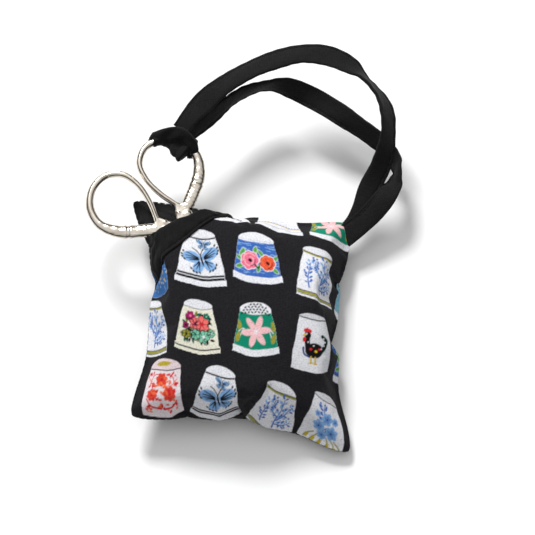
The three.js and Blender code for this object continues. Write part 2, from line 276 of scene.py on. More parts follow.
def add_bump(tree, shader, height, strength, distance_mm, below=None):
    """A bump on the shader's normal, over the one below it. Returns its own normal."""
    node = tree.nodes.new("ShaderNodeBump")
    node.inputs["Strength"].default_value = strength
    node.inputs["Distance"].default_value = distance_mm * MM
    tree.links.new(height, node.inputs["Height"])
    if below:
        tree.links.new(below, node.inputs["Normal"])
    tree.links.new(node.outputs["Normal"], shader.inputs["Normal"])
    return node.outputs["Normal"]


def mixed(tree, factor, a, b, blend_type="MIX"):
    node = tree.nodes.new("ShaderNodeMix")
    node.data_type = "RGBA"
    node.blend_type = blend_type
    for place, value in ((0, factor), (6, a), (7, b)):
        feed(tree, node.inputs[place], value)
    return node.outputs[2]


# Each black cloth's darkest and lightest colour; the random mottle and the weave's painted shade pick
# between them.
BODY_DYE = (0.004, 0.004, 0.0045), (0.011, 0.011, 0.012)
PRINT_DYE = (0.002, 0.002, 0.0024), (0.025, 0.0235, 0.0285)
BINDING_DYE = (0.002, 0.002, 0.0022), (0.014, 0.014, 0.0145)
TAPE_DYE = (0.002, 0.002, 0.0022), (0.018, 0.018, 0.0195)
THREAD_DYE = (0.008, 0.008, 0.009), (0.022, 0.022, 0.024)


def printed_dye(tree, print_layer, dye_and_weave_shade, mottle):
    """The print's ink over the dye and its painted weave shade, thinner where the mottle says that it has
    worn.
    """
    attribute = tree.nodes.new("ShaderNodeAttribute")
    attribute.attribute_name = print_layer
    wear = ramp(tree, mottle, (0.76, 0.76, 0.77), (1, 1, 1), 0.32, 0.58)
    worn = mixed(tree, 1.0, attribute.outputs["Color"], wear, "MULTIPLY")
    return mixed(tree, attribute.outputs["Alpha"], dye_and_weave_shade, worn)


def cloth_material(name, pitch_mm, sheen, roughness, dyes, cloth_uv=False, print_layer=None):
    """Woven cotton: threads that catch the light, mottled dye with painted shade in the weave's gaps and a
    painted highlight on its raised threads, and fuzz. A print layer lies on the dye.
    """
    material, tree, shader = new_material(name)
    if cloth_uv:
        layer = tree.nodes.new("ShaderNodeUVMap")
        layer.uv_map = "cloth"
        coordinates = layer.outputs["UV"]
    else:
        coordinates = object_coordinates(tree)
    threads = weave(tree, coordinates, pitch_mm)
    mottle = noise(tree, 1900, 4, object_coordinates(tree))
    patches = noise(tree, 60, 2, object_coordinates(tree))
    # painted shade and highlight: the weave's height darkens its gaps and lightens its raised threads in the
    # colour, added to the random mottle of the dye
    shade = plus(tree, math_node(tree, "MULTIPLY", mottle, 0.65), threads, 0.16)
    dye_and_weave_shade = ramp(tree, shade, *dyes, 0.25, 0.85)
    if print_layer:
        dye_and_weave_shade = printed_dye(tree, print_layer, dye_and_weave_shade, mottle)
    tree.links.new(dye_and_weave_shade, shader.inputs["Base Color"])
    dull, duller = (roughness - 0.06,) * 3, (roughness + 0.06,) * 3
    tree.links.new(ramp(tree, patches, dull, duller), shader.inputs["Roughness"])
    shader.inputs["Sheen Weight"].default_value = sheen
    shader.inputs["Sheen Roughness"].default_value = 0.45
    shader.inputs["Specular IOR Level"].default_value = 0.12
    crumple = add_bump(tree, shader, noise(tree, 260, 3, object_coordinates(tree)), 0.5, 0.5)
    add_bump(tree, shader, plus(tree, threads, mottle, 0.8), 0.55, 0.07, crumple)
    return material


NICKEL_DARK, NICKEL_LIGHT = (0.5, 0.445, 0.375), (0.76, 0.705, 0.625)


def nickel_material():
    """Polished nickel plate over cast steel, with faint grinding marks and duller, darker patches."""
    material, tree, shader = new_material("nickel_plate")
    place = object_coordinates(tree)
    patches = noise(tree, 260, 5, place)
    fine = noise(tree, 2400, 4, place)
    shader.inputs["Metallic"].default_value = 1.0
    tint = ramp(tree, patches, NICKEL_DARK, NICKEL_LIGHT, 0.3, 0.7)
    tree.links.new(tint, shader.inputs["Base Color"])
    tree.links.new(ramp(tree, patches, (0.25,) * 3, (0.17,) * 3, 0.3, 0.75), shader.inputs["Roughness"])
    add_bump(tree, shader, plus(tree, patches, fine, 0.3), 0.14, 0.06)
    return material


# ---- the blown-up cloth bag ----

SIM_GRID = 56
SIM_SCALE = 0.01  # the solver's units for one millimetre, which suit its damping
SIM_FRAMES = 32
SIM_DOME, SIM_ROUGHNESS = 3, 0.02  # how far the flat squares start apart, and how uneven they are


def mesh_points(mesh):
    """The points of a mesh as an array."""
    co = np.zeros(len(mesh.vertices) * 3)
    mesh.vertices.foreach_get("co", co)
    return co.reshape(-1, 3)


def inflated(bag):
    """The bag's points once the cloth solver has blown it up. The bag itself is removed."""
    cloth = bag.modifiers.new("blow", "CLOTH")
    settings = cloth.settings
    settings.quality, settings.mass, settings.air_damping = 6, 0.2, 2
    settings.tension_stiffness = settings.compression_stiffness = 60
    settings.shear_stiffness, settings.bending_stiffness = 60, 8
    settings.use_pressure, settings.uniform_pressure_force = True, 2.2
    settings.effector_weights.gravity = 0
    cloth.collision_settings.use_collision = False
    cloth.point_cache.frame_end = SIM_FRAMES + 1
    for f in range(1, SIM_FRAMES + 1):
        bpy.context.scene.frame_set(f)
    points = mesh_points(bag.evaluated_get(bpy.context.evaluated_depsgraph_get()).data)
    bpy.data.objects.remove(bag)
    bpy.context.scene.frame_set(1)
    return points


def blown_bag():
    """Two flat squares of cloth, sewn together round the rim and blown up by Blender's cloth solver.

    Returns their points as an array [layer, i, j, xyz]; layer 0 is the front.
    """
    n = SIM_GRID
    t = np.linspace(-1, 1, n + 1)
    u, v = np.meshgrid(t, t, indexing="ij")
    half = FLAT_HALF * SIM_SCALE * (1 - 0.02 * np.abs(u * v) ** 10)  # slightly rounded corners
    start = np.random.default_rng(SEED).normal(0, SIM_ROUGHNESS, u.shape) * SIM_SCALE
    dome = SIM_DOME * SIM_SCALE * (1 - u**2) * (1 - v**2)
    rim = (np.abs(u) == 1) | (np.abs(v) == 1)
    inner = ~rim
    front = np.arange((n + 1) ** 2).reshape(n + 1, n + 1)
    back = front.copy()
    back[inner] = (n + 1) ** 2 + np.arange(inner.sum())
    x, y = u * half, v * half
    points = np.concatenate([
        np.stack([x, y, dome + start * inner], -1).reshape(-1, 3),
        np.stack([x[inner], y[inner], start[inner] - dome[inner]], -1),
    ])
    bag = plain_object("bag", points, [*grid_faces(front), *grid_faces(back)[:, ::-1]])
    blown = inflated(bag) / SIM_SCALE
    return np.stack([blown[front], blown[back]])


def cubic_weights(s):
    return np.stack([
        -0.5 * s + s**2 - 0.5 * s**3,
        1 - 2.5 * s**2 + 1.5 * s**3,
        0.5 * s + 2 * s**2 - 1.5 * s**3,
        -0.5 * s**2 + 0.5 * s**3,
    ], -1)


def on_grid(layer, u, v):
    """A smooth look-up of the bag's points at any u and v."""
    n = SIM_GRID
    a = (np.clip(u, -1, 1) + 1) / 2 * n
    b = (np.clip(v, -1, 1) + 1) / 2 * n
    i, j = (np.minimum(np.floor(q).astype(int), n - 1) for q in (a, b))
    wa, wb = cubic_weights(a - i), cubic_weights(b - j)
    out = np.zeros((*np.shape(u), 3))
    for p in range(4):
        for q in range(4):
            w = wa[..., p] * wb[..., q]
            out += w[..., None] * layer[np.clip(i + p - 1, 0, n), np.clip(j + q - 1, 0, n)]
    return out


def squared_up(bag):
    """The bag with its corners moved to one even rectangle, and the size of that rectangle's half."""
    corners = bag[0][[[0, 0], [-1, -1]], [[0, -1], [0, -1]]]
    half = np.abs(corners).mean((0, 1)) * [1, 1, 0]
    off = corners - half * np.array([[[-1, -1, 0], [-1, 1, 0]], [[1, -1, 0], [1, 1, 0]]])
    w = np.linspace(0, 1, SIM_GRID + 1)
    share = np.stack([1 - w, w])
    return bag - np.einsum("ai,bj,abk->ijk", share, share, off), half


BAG, BAG_CORNER = squared_up(blown_bag())
MID = SIM_GRID // 2
BAG_MIDDLE = BAG[0][MID, MID, 2], -BAG[1][MID, MID, 2]
BAG_PULL = {
    "left": 1 + BAG[0][0, MID, 0] / BAG_CORNER[0],
    "right": 1 - BAG[0][-1, MID, 0] / BAG_CORNER[0],
    "bottom": 1 + BAG[0][MID, 0, 1] / BAG_CORNER[1],
    "top": 1 - BAG[0][MID, -1, 1] / BAG_CORNER[1],
}


def lie_down(p, height_scale):
    """Puts the bag's points where the cushion lies: its corners on CORNERS, its sides pulled in."""
    s, t = p[..., 0] / BAG_CORNER[0], p[..., 1] / BAG_CORNER[1]
    a, b = (1 + s) / 2, (1 + t) / 2
    c = {k: np.array(q, float) for k, q in CORNERS.items()}
    out = mix(mix(c["bottom_left"], c["bottom_right"], a), mix(c["top_left"], c["top_right"], a), b)
    extra = {k: PULL_IN[k] - BAG_PULL[k] * BLOWN_HALF for k in PULL_IN}
    out[..., 0] += (extra["left"] * (1 - a) - extra["right"] * a) * (1 - t**2)
    out[..., 1] += (extra["bottom"] * (1 - b) - extra["top"] * b) * (1 - s**2)
    for side, place, depth, spread in NIPS:
        axis, sign = SIDES[side]
        nearness = (a, b)[axis] if sign < 0 else 1 - (a, b)[axis]
        out[..., axis] += sign * depth * nearness**2 * bump((t, s)[axis], place, spread)
    out[..., 2] += SEAM_RISE * (1 - s**2 * t**2) + p[..., 2] * height_scale
    out[..., 2] = smooth_max(out[..., 2], REST_HEIGHT, REST_SOFTNESS)
    return out


def natural_front(u, v):
    return lie_down(on_grid(BAG[0], u, v), TOP_HEIGHT / BAG_MIDDLE[0])


# The scissors hold the pocket up: this is how high, at a distance to the side of their axis.
TENT_TOP, TENT_FLAT, TENT_FALL = 26.3, 6.0, 0.075
TENT_END, TENT_END_FALL = 20.0, 0.05
SLOPE_STEP = 0.02  # in u and v, for finding which way the cloth faces


def tented(p):
    along, side = ((p[..., :2] - PIVOT[:2]) @ axis[:2] for axis in (BLADE_AXIS, SIDE_AXIS))
    tent = TENT_TOP - TENT_FALL * np.maximum(np.abs(side) - TENT_FLAT, 0) ** 2
    tent -= TENT_END_FALL * np.maximum(along - TENT_END, 0) ** 2
    out = p.copy()
    out[..., 2] = smooth_max(p[..., 2], tent, 0.8)
    return out


def front(u, v, lift=0.0):
    """The pocket panel's face, and lift mm above it."""
    u, v = np.broadcast_arrays(np.asarray(u, float), np.asarray(v, float))
    p = tented(natural_front(u, v))
    du, dv = (tented(natural_front(u + a, v + b)) - tented(natural_front(u - a, v - b))
              for a, b in ((SLOPE_STEP, 0), (0, SLOPE_STEP)))
    return p + unit(np.cross(du, dv)) * np.asarray(lift, float)[..., None]


# ---- the print: thimbles painted on the cloth, in millimetres on the flat square ----

SOFT_EDGE = 0.3  # how far an ink line fades out
MOTIF_MIDDLE, MOTIF_REACH = 8, 21  # from a motif's origin up to its middle, and from there all round


def ink(red, green, blue):
    """A colour of the print from its screen values of 0 to 255, as scene-linear light."""
    return (np.array([red, green, blue]) / 255) ** 2.2


WHITE, CREAM, BLACK = ink(226, 227, 232), ink(226, 224, 206), ink(22, 20, 26)
BLUE, PALE_BLUE, DEEP_BLUE = ink(62, 102, 178), ink(128, 170, 218), ink(40, 62, 130)
GREEN, LEAF, OLIVE = ink(18, 132, 104), ink(104, 168, 62), ink(150, 146, 58)
PINK, ROSE, RED, CORAL = ink(240, 176, 178), ink(234, 112, 142), ink(206, 42, 48), ink(238, 108, 66)
MAGENTA, MINT, YELLOW, GREY = ink(150, 34, 92), ink(120, 190, 160), ink(226, 190, 40), ink(196, 198, 204)


def polar(x, y, reach, degrees):
    """The point at this reach and angle from x and y."""
    return x + reach * math.cos(math.radians(degrees)), y + reach * math.sin(math.radians(degrees))


class Cloth:
    """The points of a printed square that lie round one motif, in the motif's own x and y."""

    def __init__(self, sheet, x, y, turn):
        self.sheet = sheet
        self.points = np.nonzero(np.hypot(sheet["x"] - x, sheet["y"] - y - MOTIF_MIDDLE) < MOTIF_REACH)[0]
        angle = math.radians(turn)
        dx, dy = sheet["x"][self.points] - x, sheet["y"][self.points] - y
        self.x = dx * math.cos(angle) + dy * math.sin(angle)
        self.y = -dx * math.sin(angle) + dy * math.cos(angle)
        self.x, self.y = (
            self.x + 0.12 * np.sin(self.y * 0.7 + x) + 0.03 * np.sin(self.y * 2.3 + y),
            self.y + 0.12 * np.sin(self.x * 0.6 + y) + 0.03 * np.sin(self.x * 2.1 + x),
        )
        self.stencil = None

    def fill(self, distance, colour):
        """Inks what is nearer than distance 0, inside the stencil if there is one."""
        if self.stencil is not None:
            distance = np.maximum(distance, self.stencil)
        share = np.clip(0.5 - distance / SOFT_EDGE, 0, 1)[:, None]
        old = self.sheet["ink"][self.points]
        cover = share + old[:, 3:] * (1 - share)
        mixed_ink = colour * share + old[:, :3] * old[:, 3:] * (1 - share)
        self.sheet["ink"][self.points] = np.concatenate([mixed_ink / np.maximum(cover, 1e-6), cover], 1)

    def spot(self, x, y, rx, ry=None, turn=0.0):
        """The distance to an ellipse."""
        ry = rx if ry is None else ry
        a = math.radians(turn)
        dx, dy = self.x - x, self.y - y
        s = (dx * math.cos(a) + dy * math.sin(a)) / rx
        t = (-dx * math.sin(a) + dy * math.cos(a)) / ry
        return (np.sqrt(s**2 + t**2) - 1) * min(rx, ry)

    def line(self, points, width, taper=0.0):
        """The distance to a brush line through the points. taper is the share it thins by at its end."""
        nearest = np.full(len(self.x), 99.0)
        count = len(points) - 1
        for i, ((x0, y0), (x1, y1)) in enumerate(zip(points[:-1], points[1:])):
            ex, ey = x1 - x0, y1 - y0
            s = np.clip(((self.x - x0) * ex + (self.y - y0) * ey) / max(ex * ex + ey * ey, 1e-9), 0, 1)
            along = (i + s) / count
            reach = np.hypot(self.x - x0 - s * ex, self.y - y0 - s * ey)
            nearest = np.minimum(nearest, reach - width / 2 * (1 - taper * along))
        return nearest

    def dab(self, x, y, rx, ry, turn, colour):
        """Inks an ellipse."""
        self.fill(self.spot(x, y, rx, ry, turn), colour)

    def dot(self, x, y, r, colour):
        self.fill(self.spot(x, y, r), colour)

    def stroke(self, points, width, colour, taper=0.0):
        """Inks a straight brush stroke."""
        self.fill(self.line(points, width, taper), colour)

    def curve(self, points, width, colour, taper=0.0):
        """Inks a smooth brush stroke through the points."""
        path = catmull([(*p, 0) for p in points], np.linspace(0, 1, 4 * len(points)))
        self.stroke([(p[0], p[1]) for p in path], width, colour, taper)


BAND_HIGH, BAND_FLARE, BAND_SAG = 2.5, 0.45, 1.5  # a thimble's lower band


def thimble(cloth, body, dome, band=None, base=20.2, shoulder=12.4, height=18.2, rise=3.2, tilt=0.0):
    """Inks a thimble's outline and leaves it as the stencil.

    base and shoulder are its widths, and rise is the dome's height over the shoulder. Returns the
    distances to its two cross lines: at the shoulder, and at the top of the band.
    """
    s = np.clip(cloth.y / height, 0, 1)
    half = (base + (shoulder - base) * (0.55 * s + 0.45 * s**2)) / 2
    sag = BAND_SAG * np.clip(1 - (cloth.x / (base / 2)) ** 2, 0, 1)
    band_line = cloth.y + sag - BAND_HIGH
    flare = np.where(band_line < 0, BAND_FLARE, 0) if band is not None else 0
    level = cloth.y - height + tilt * cloth.x
    top = level - rise * np.sqrt(np.clip(1 - (cloth.x / (shoulder / 2 + 0.4)) ** 2, 0, 1))
    whole = np.maximum(np.maximum(np.abs(cloth.x) - half - flare, top), -cloth.y - sag)
    shoulder_line = level + 0.8 * np.clip(1 - (cloth.x / (shoulder / 2)) ** 2, 0, 1)
    cloth.fill(whole, dome)
    cloth.fill(np.maximum(whole, shoulder_line), body)
    if band is not None:
        cloth.fill(np.maximum(whole, band_line), band)
    cloth.stencil = whole + 0.1
    return shoulder_line, band_line


def cross_line(cloth, distance, half_width, colour):
    """Inks a line that runs across a thimble where distance is 0."""
    cloth.fill(np.abs(distance) - half_width, colour)


WING_SPOTS = ((2.6, 1.2, 2.5, 1.6, 24), (1.6, -1.8, 1.8, 1.35, -40))
WING_TIPS = (
    (4.4, 3.3), (5.0, 2.6), (5.1, 1.8), (4.7, 1.0), (3.6, -1.9), (3.1, -2.7), (2.3, -3.2), (1.4, -3.3),
)
WING_VEINS = ((3.6, 2.7), (4.1, 2.0), (4.1, 1.2), (3.4, 0.5), (2.7, -1.5), (2.2, -2.3), (1.4, -2.6))


def butterfly(cloth, x, y, size, turn):
    """A butterfly seen from above: two pairs of blue wings with dark veins and scalloped edges."""

    def at(px, py):
        return polar(*polar(x, y, size * px, turn), size * py, turn + 90)

    for s in (-1, 1):
        for px, py, rx, ry, lean in WING_SPOTS:
            cloth.dab(*at(s * px, py), size * rx, size * ry, turn + s * lean, PALE_BLUE)
        for px, py in WING_TIPS:
            cloth.dab(*at(s * px, py), 0.4 * size, 0.24 * size, turn + 60 * s, BLACK)
        for px, py in WING_VEINS:
            cloth.stroke([at(s * 0.9, 0.25 * py), at(s * px, py)], 0.4 * size, BLACK, 0.5)
        cloth.curve([at(0, 1.2), at(s * 0.8, 2.6), at(s * 1.8, 3.6)], 0.26 * size, BLACK)
    cloth.dab(*at(0, -0.1), 0.3 * size, 1.6 * size, turn, BLACK)


def flower(cloth, x, y, r, colour, heart, petals=5, turn=0.0, outline=0.0):
    """A round-petalled flower; outline is how far a black line stands out round it."""
    turns = [turn + 360 * k / petals for k in range(petals)]
    for grown, shade in ((outline, BLACK), (0.0, colour)) if outline else ((0.0, colour),):
        for a in turns:
            cloth.dab(*polar(x, y, 0.55 * r, a), 0.5 * r + grown, 0.38 * r + grown, a, shade)
    for a in turns if outline else ():
        cloth.stroke([(x, y), polar(x, y, 0.7 * r, a + 180 / petals)], 0.24, BLACK, 0.5)
    cloth.dot(x, y, 0.26 * r, heart)


def rose(cloth, x, y, r, colour, shade):
    """A round rose: scalloped petals, curls in a darker ink and a black heart."""
    for grown, tone in ((0.3, WHITE), (0.0, colour)):
        for k in range(7):
            cloth.dot(*polar(x, y, 0.62 * r, 360 * k / 7), 0.44 * r + grown, tone)
    cloth.dot(x, y, 0.7 * r, colour)
    for k, reach in enumerate((0.82, 0.62, 0.42)):
        cloth.curve([polar(x, y, reach * r, 40 + 130 * k + q) for q in (0, 50, 100, 150)], 0.4, shade)
    cloth.dab(x + 0.05 * r, y - 0.02 * r, 0.26 * r, 0.18 * r, -35, BLACK)
    cloth.curve([polar(x, y, 0.66 * r, q) for q in (-80, -50, -20, 10)], 0.36, BLACK, 0.5)


def leaf(cloth, x, y, size, turn, colour, rib=None):
    cloth.dab(x, y, size, size * 0.48, turn, colour)
    if rib is not None:
        cloth.stroke([polar(x, y, -0.8 * size, turn), polar(x, y, 0.8 * size, turn)], 0.28, rib)


def branch(cloth, points, seed, leaves=6, size=1.0):
    """A curved blue twig with tufts of dabbed leaves."""
    rng = np.random.default_rng(SEED + seed)
    path = catmull([(*p, 0) for p in points], np.linspace(0, 1, leaves + 1))
    cloth.curve(points, 0.62, BLUE, 0.5)
    for (x0, y0, _), (x1, y1, _) in zip(path[:-1], path[1:]):
        for s in (-1, 1):
            lean = math.degrees(math.atan2(y1 - y0, x1 - x0)) + s * rng.uniform(30, 70)
            reach = size * rng.uniform(0.8, 1.5)
            x, y = polar(x1, y1, reach, lean)
            leaf(cloth, x, y, reach * 0.62, lean, BLUE if rng.random() < 0.6 else PALE_BLUE)
            if rng.random() < 0.6:
                cloth.dot(x + rng.uniform(-0.8, 0.8), y + rng.uniform(0.4, 1.1), 0.4, BLUE)


# ---- each kind of thimble ----


def butterfly_thimble(cloth):
    shoulder, band = thimble(cloth, WHITE, WHITE * 0.96, WHITE)
    cross_line(cloth, shoulder, 0.3, BLACK)
    cross_line(cloth, band - 0.1, 0.48, BLACK)
    cross_line(cloth, band - 1.3, 0.38, BLACK)
    butterfly(cloth, 0.5, 8.9, 1.46, 14)
    butterfly(cloth, 1.1, 15.2, 0.55, -8)
    cloth.dot(0.8, 13, 0.32, BLACK)


def rose_thimble(cloth):
    shoulder, _ = thimble(cloth, BLUE, WHITE, WHITE, 19.2, 14.2, 15.4, 3.4)
    rng = np.random.default_rng(SEED + 1)
    for _ in range(70):
        x, y = rng.uniform(-9, 9), rng.uniform(2.4, 14.6)
        cloth.curve([(x, y), (x + 0.8, y + rng.uniform(-0.3, 0.4)), (x + 1.6, y)], 0.26, PALE_BLUE)
    cross_line(cloth, shoulder - 0.7, 0.12, GREY)
    for x, y, size, turn in (
        (-5.9, 10.2, 1.8, 60), (-6.9, 4.8, 1.6, 200), (-0.7, 11.1, 1.7, 70), (7.2, 9.2, 1.6, 40),
        (0.6, 4.3, 1.5, 250), (7.3, 4.4, 1.5, 320), (-7.2, 8, 1.4, 150), (1.5, 10.4, 1.4, 130),
    ):
        leaf(cloth, x, y, size + 0.25, turn, WHITE)
        leaf(cloth, x, y, size, turn, LEAF, GREEN)
    rose(cloth, -3, 7.3, 3.4, ROSE, PINK)
    rose(cloth, 4.1, 7, 3.0, CORAL * 0.5 + RED * 0.5, CORAL)
    cloth.curve([(-0.9, 5.6), (0.4, 4.4), (1.2, 6.8)], 0.55, BLACK, 0.5)


def sprig_thimble(cloth):
    shoulder, band = thimble(cloth, WHITE, WHITE * 0.96, base=19.4, shoulder=12.6, tilt=0.1)
    cross_line(cloth, shoulder, 0.42, OLIVE)
    cross_line(cloth, shoulder - 0.4, 0.16, BLACK)
    cross_line(cloth, band + 0.9, 0.5, OLIVE)
    cross_line(cloth, band + 0.2, 0.2, BLACK)
    cross_line(cloth, band + 1.6, 0.14, BLACK)
    branch(cloth, [(1.2, 2.4), (1.0, 7), (2.2, 11), (2.4, 15.4)], 2, 6, 1.1)
    branch(cloth, [(1.0, 6), (3.6, 8.8), (5.6, 12.4)], 3, 6, 1.0)
    branch(cloth, [(-4.4, 3), (-4.8, 7.4), (-3.4, 13.6)], 4, 6, 0.95)
    branch(cloth, [(1.2, 4), (4.6, 4.6), (6.8, 6.6)], 5, 5, 0.9)
    branch(cloth, [(1.0, 8), (-1.4, 10.6), (-1.2, 14.6)], 10, 6, 0.9)


def bouquet_thimble(cloth):
    shoulder, band = thimble(cloth, CREAM, WHITE * 0.96, CREAM, 18.8, 11.4, 15.8, 2.8)
    cross_line(cloth, shoulder, 0.16, GREY * 0.4)
    cross_line(cloth, band + 1.0, 0.26, BLACK)
    rng = np.random.default_rng(SEED + 6)
    shades = (BLACK, GREEN * 0.4, OLIVE * 0.7, BLACK)
    for _ in range(46):
        x, y, size, turn = (rng.uniform(*span) for span in ((-6.4, 6.4), (3, 13.8), (0.7, 1.3), (0, 180)))
        leaf(cloth, x, y, size, turn, shades[int(rng.integers(4))])
    for x, y, r, colour, heart, outline in (
        (-2.9, 12, 1.9, MAGENTA, ROSE, 0.0),
        (3.6, 12.6, 1.3, GREEN * 0.5, MINT, 0.0),
        (1.6, 9.6, 2.9, CORAL * 0.6 + ROSE * 0.4, RED, 0.2),
        (-1.2, 9.2, 2.2, CORAL * 0.5 + ROSE * 0.5, MAGENTA, 0.15),
        (2.6, 5, 2.3, MINT * 1.1, WHITE, 0.3),
        (-1, 5.4, 1.9, MINT, GREEN, 0.3),
        (-4.7, 5.2, 1.6, OLIVE, BLACK, 0.2),
        (5.6, 6.4, 1.4, MINT, WHITE, 0.2),
        (-5, 8.4, 1.2, MAGENTA, BLACK, 0.1),
    ):
        flower(cloth, x, y, r, colour, heart, 6, 20 * x, outline)
    for _ in range(16):
        x, y, a = (rng.uniform(*span) for span in ((-6, 5.5), (2.6, 12.6), (0, 6.3)))
        curl = [(x + 0.9 * math.cos(a + q), y + 0.7 * math.sin(a + q)) for q in (0, 1.2, 2.4, 3.6)]
        cloth.curve(curl, 0.32, BLACK)


def star_thimble(cloth):
    thimble(cloth, GREEN, WHITE, WHITE, 18.6, 12.6, 14.6, 3.9)
    for row, count in ((0.4, 9), (1.4, 8), (2.4, 7), (3.3, 4)):
        for k in range(count):
            x = (k - (count - 1) / 2) * 1.35
            cloth.dab(x, 14.4 + row - 0.03 * x * x, 0.5, 0.3, 35 * (-1) ** k, BLACK)
    for side in (-1, 1):
        cloth.curve([(side * 3.6, 7.6), (side * 5.4, 8.4), (side * 7, 7.2)], 0.36, WHITE)
        cloth.curve([(side * 5.2, 8.2), (side * 6, 6.4), (side * 6.8, 4.6)], 0.3, WHITE)
        leaf(cloth, side * 6.9, 9.6, 1.9, 100, OLIVE)
        leaf(cloth, side * 7.3, 5.2, 1.9, 75, OLIVE)
    for a in range(8, 360, 60):
        cloth.dab(*polar(0, 7.6, 3.1, a), 2.9, 1.25, a, PINK * 0.8 + WHITE * 0.2)
    for a in range(38, 360, 60):
        cloth.stroke([(0, 7.6), polar(0, 7.6, 1.5, a)], 0.26, WHITE)


def bird_thimble(cloth):
    """A small dark fowl, drawn from plain shapes."""
    shoulder, _ = thimble(cloth, WHITE, WHITE * 0.82, None, 18, 11.6, 18, 1.7, 0.1)
    cross_line(cloth, shoulder - 0.4, 0.2, BLACK)
    for reach, colour in ((1.9, GREEN * 0.6), (1.4, BLACK)):
        cloth.curve([(2.4, 5.6), (4.6, 7.6), (5.2, 10.4), (3.6, 11.8)], reach, colour, 0.3)
    cloth.dab(0.6, 6.4, 3.7, 2.7, 8, BLACK)
    cloth.curve([(-4, 7.2), (-3.4, 4.8), (-1.2, 3.8)], 0.8, DEEP_BLUE, 0.3)
    cloth.curve([(-2, 7.2), (-2.6, 9.8), (-2.4, 11.4)], 2.5, BLACK, 0.3)
    cloth.dot(-2.5, 11.8, 1.35, BLACK)
    for k in range(3):
        cloth.dot(-3.3 + 0.9 * k, 13.5 + 0.2 * math.sin(2.2 * k), 0.72, RED)
    cloth.dab(-3.9, 10.2, 0.7, 0.9, 0, RED)
    cloth.stroke([(-3.6, 11.9), (-5, 11.4)], 0.8, YELLOW, 0.8)
    cloth.dot(-2.9, 12.2, 0.32, WHITE)
    for x in (-0.6, 1.2):
        cloth.stroke([(x, 4), (x, 1.8)], 0.7, YELLOW * 0.8)
        cloth.stroke([(x - 0.9, 1.7), (x + 0.7, 1.7)], 0.45, YELLOW * 0.8)
    for x, y, colour in ((-0.8, 6.8, RED), (1.4, 6.2, YELLOW), (2.8, 7.2, RED)):
        cloth.dab(x, y, 0.6, 0.45, 0, colour)
    for x, y in ((3.6, 7.4), (4.5, 8.6), (4.8, 9.9), (4.1, 11.1), (0.2, 8.1), (-2.2, 9.2)):
        cloth.dot(x, y, 0.28, WHITE)


def red_thimble(cloth):
    pale = PINK * 0.18 + WHITE * 0.82
    shoulder, _ = thimble(cloth, pale, PINK * 0.3 + WHITE * 0.6, None, 16.6, 14.4, 17.2, 3.8)
    cloth.dab(-0.4, 19, 3.4, 0.9, 6, OLIVE * 0.7 + YELLOW * 0.3)
    cross_line(cloth, shoulder - 0.1, 0.2, BLACK * 2)
    rng = np.random.default_rng(SEED + 7)
    for x, y, r in ((3.2, 8, 2.7), (-4.2, 7.2, 2.2), (-0.4, 13, 2.5)):
        flower(cloth, x, y, r, RED * 0.7 + CORAL * 0.3, RED, 7, rng.uniform(0, 60))
    for _ in range(60):
        x, y, size, turn = (rng.uniform(*span) for span in ((-6.8, 6.8), (1, 15.4), (0.5, 1.1), (0, 180)))
        leaf(cloth, x, y, size, turn, CORAL if rng.random() < 0.4 else RED)
    for side in (-1, 1):
        cloth.curve([(side * 0.6, 2), (side * 4.4, 3.2), (side * 6.2, 5.6)], 0.9, RED, 0.5)
        cloth.curve([(side * 1.5, 15), (side * 4, 14.4), (side * 5.4, 11)], 0.36, RED)
        cloth.curve([(side * 1.2, 10.6), (side * 4, 11), (side * 6.2, 13.4)], 0.36, CORAL)


def spray_thimble(cloth):
    shoulder, _ = thimble(cloth, WHITE, WHITE * 0.9, None, 18.8, 11.8, 18, 2.2, 0.1)
    cross_line(cloth, shoulder - 0.3, 0.16, BLACK)
    for x in (-7, -4.4, -1.6, 1.6, 4.4, 7):
        cloth.curve([(x, 0.6), (x + 0.8, 2.2), (x * 0.6 + 0.4, 4.6)], 0.6, OLIVE, 0.3)
        leaf(cloth, x + 1, 1.6, 1.2, 65, OLIVE * 0.6 + YELLOW * 0.4)
    branch(cloth, [(0.4, 4), (-0.8, 9), (-1.6, 15.2)], 8, 7, 1.2)
    for x, y, r in (
        (-2.4, 8.2, 2.4), (2.9, 7, 2.6), (0.2, 11.4, 2.3), (-3.9, 12.4, 1.2), (3.6, 11.4, 1.5), (-0.6, 5, 2),
    ):
        flower(cloth, x, y, r, PALE_BLUE, BLUE, 6, 30 * x)
        flower(cloth, x, y, 0.6 * r, BLUE * 0.5 + PALE_BLUE * 0.5, DEEP_BLUE, 5, 15)


def dotted_thimble(cloth):
    _, band = thimble(cloth, WHITE, WHITE, WHITE, base=18.6)
    for k in range(15):
        x = -8.4 + 1.2 * k
        y = 4.6 - 1.5 * (1 - (x / 10.3) ** 2)
        cloth.dab(x, y + 0.8, 0.6, 0.45, 0, YELLOW * 0.8)
        cloth.dot(x + 0.6, y + 1.9, 0.4, BLUE)
    cross_line(cloth, band - 0.1, 0.14, GREY * 0.5)


def speckled_thimble(cloth):
    thimble(cloth, BLUE * 0.8 + GREEN * 0.15, WHITE, height=18, shoulder=14)
    rng = np.random.default_rng(SEED + 9)
    for _ in range(90):
        colour = (YELLOW * 0.8, PALE_BLUE, OLIVE, PALE_BLUE)[int(rng.integers(4))]
        cloth.dab(rng.uniform(-9, 9), rng.uniform(0.5, 17), 0.45, 0.28, rng.uniform(0, 180), colour)


def pale_thimble(cloth):
    thimble(cloth, PALE_BLUE * 0.6 + MINT * 0.4, WHITE, WHITE)


def spotted_thimble(cloth):
    thimble(cloth, WHITE, WHITE, height=18, shoulder=14)
    cloth.dab(-1.6, 2.4, 2.2, 0.8, 0, YELLOW * 0.8)
    cloth.dab(1.6, 3.0, 0.9, 0.6, 0, OLIVE)


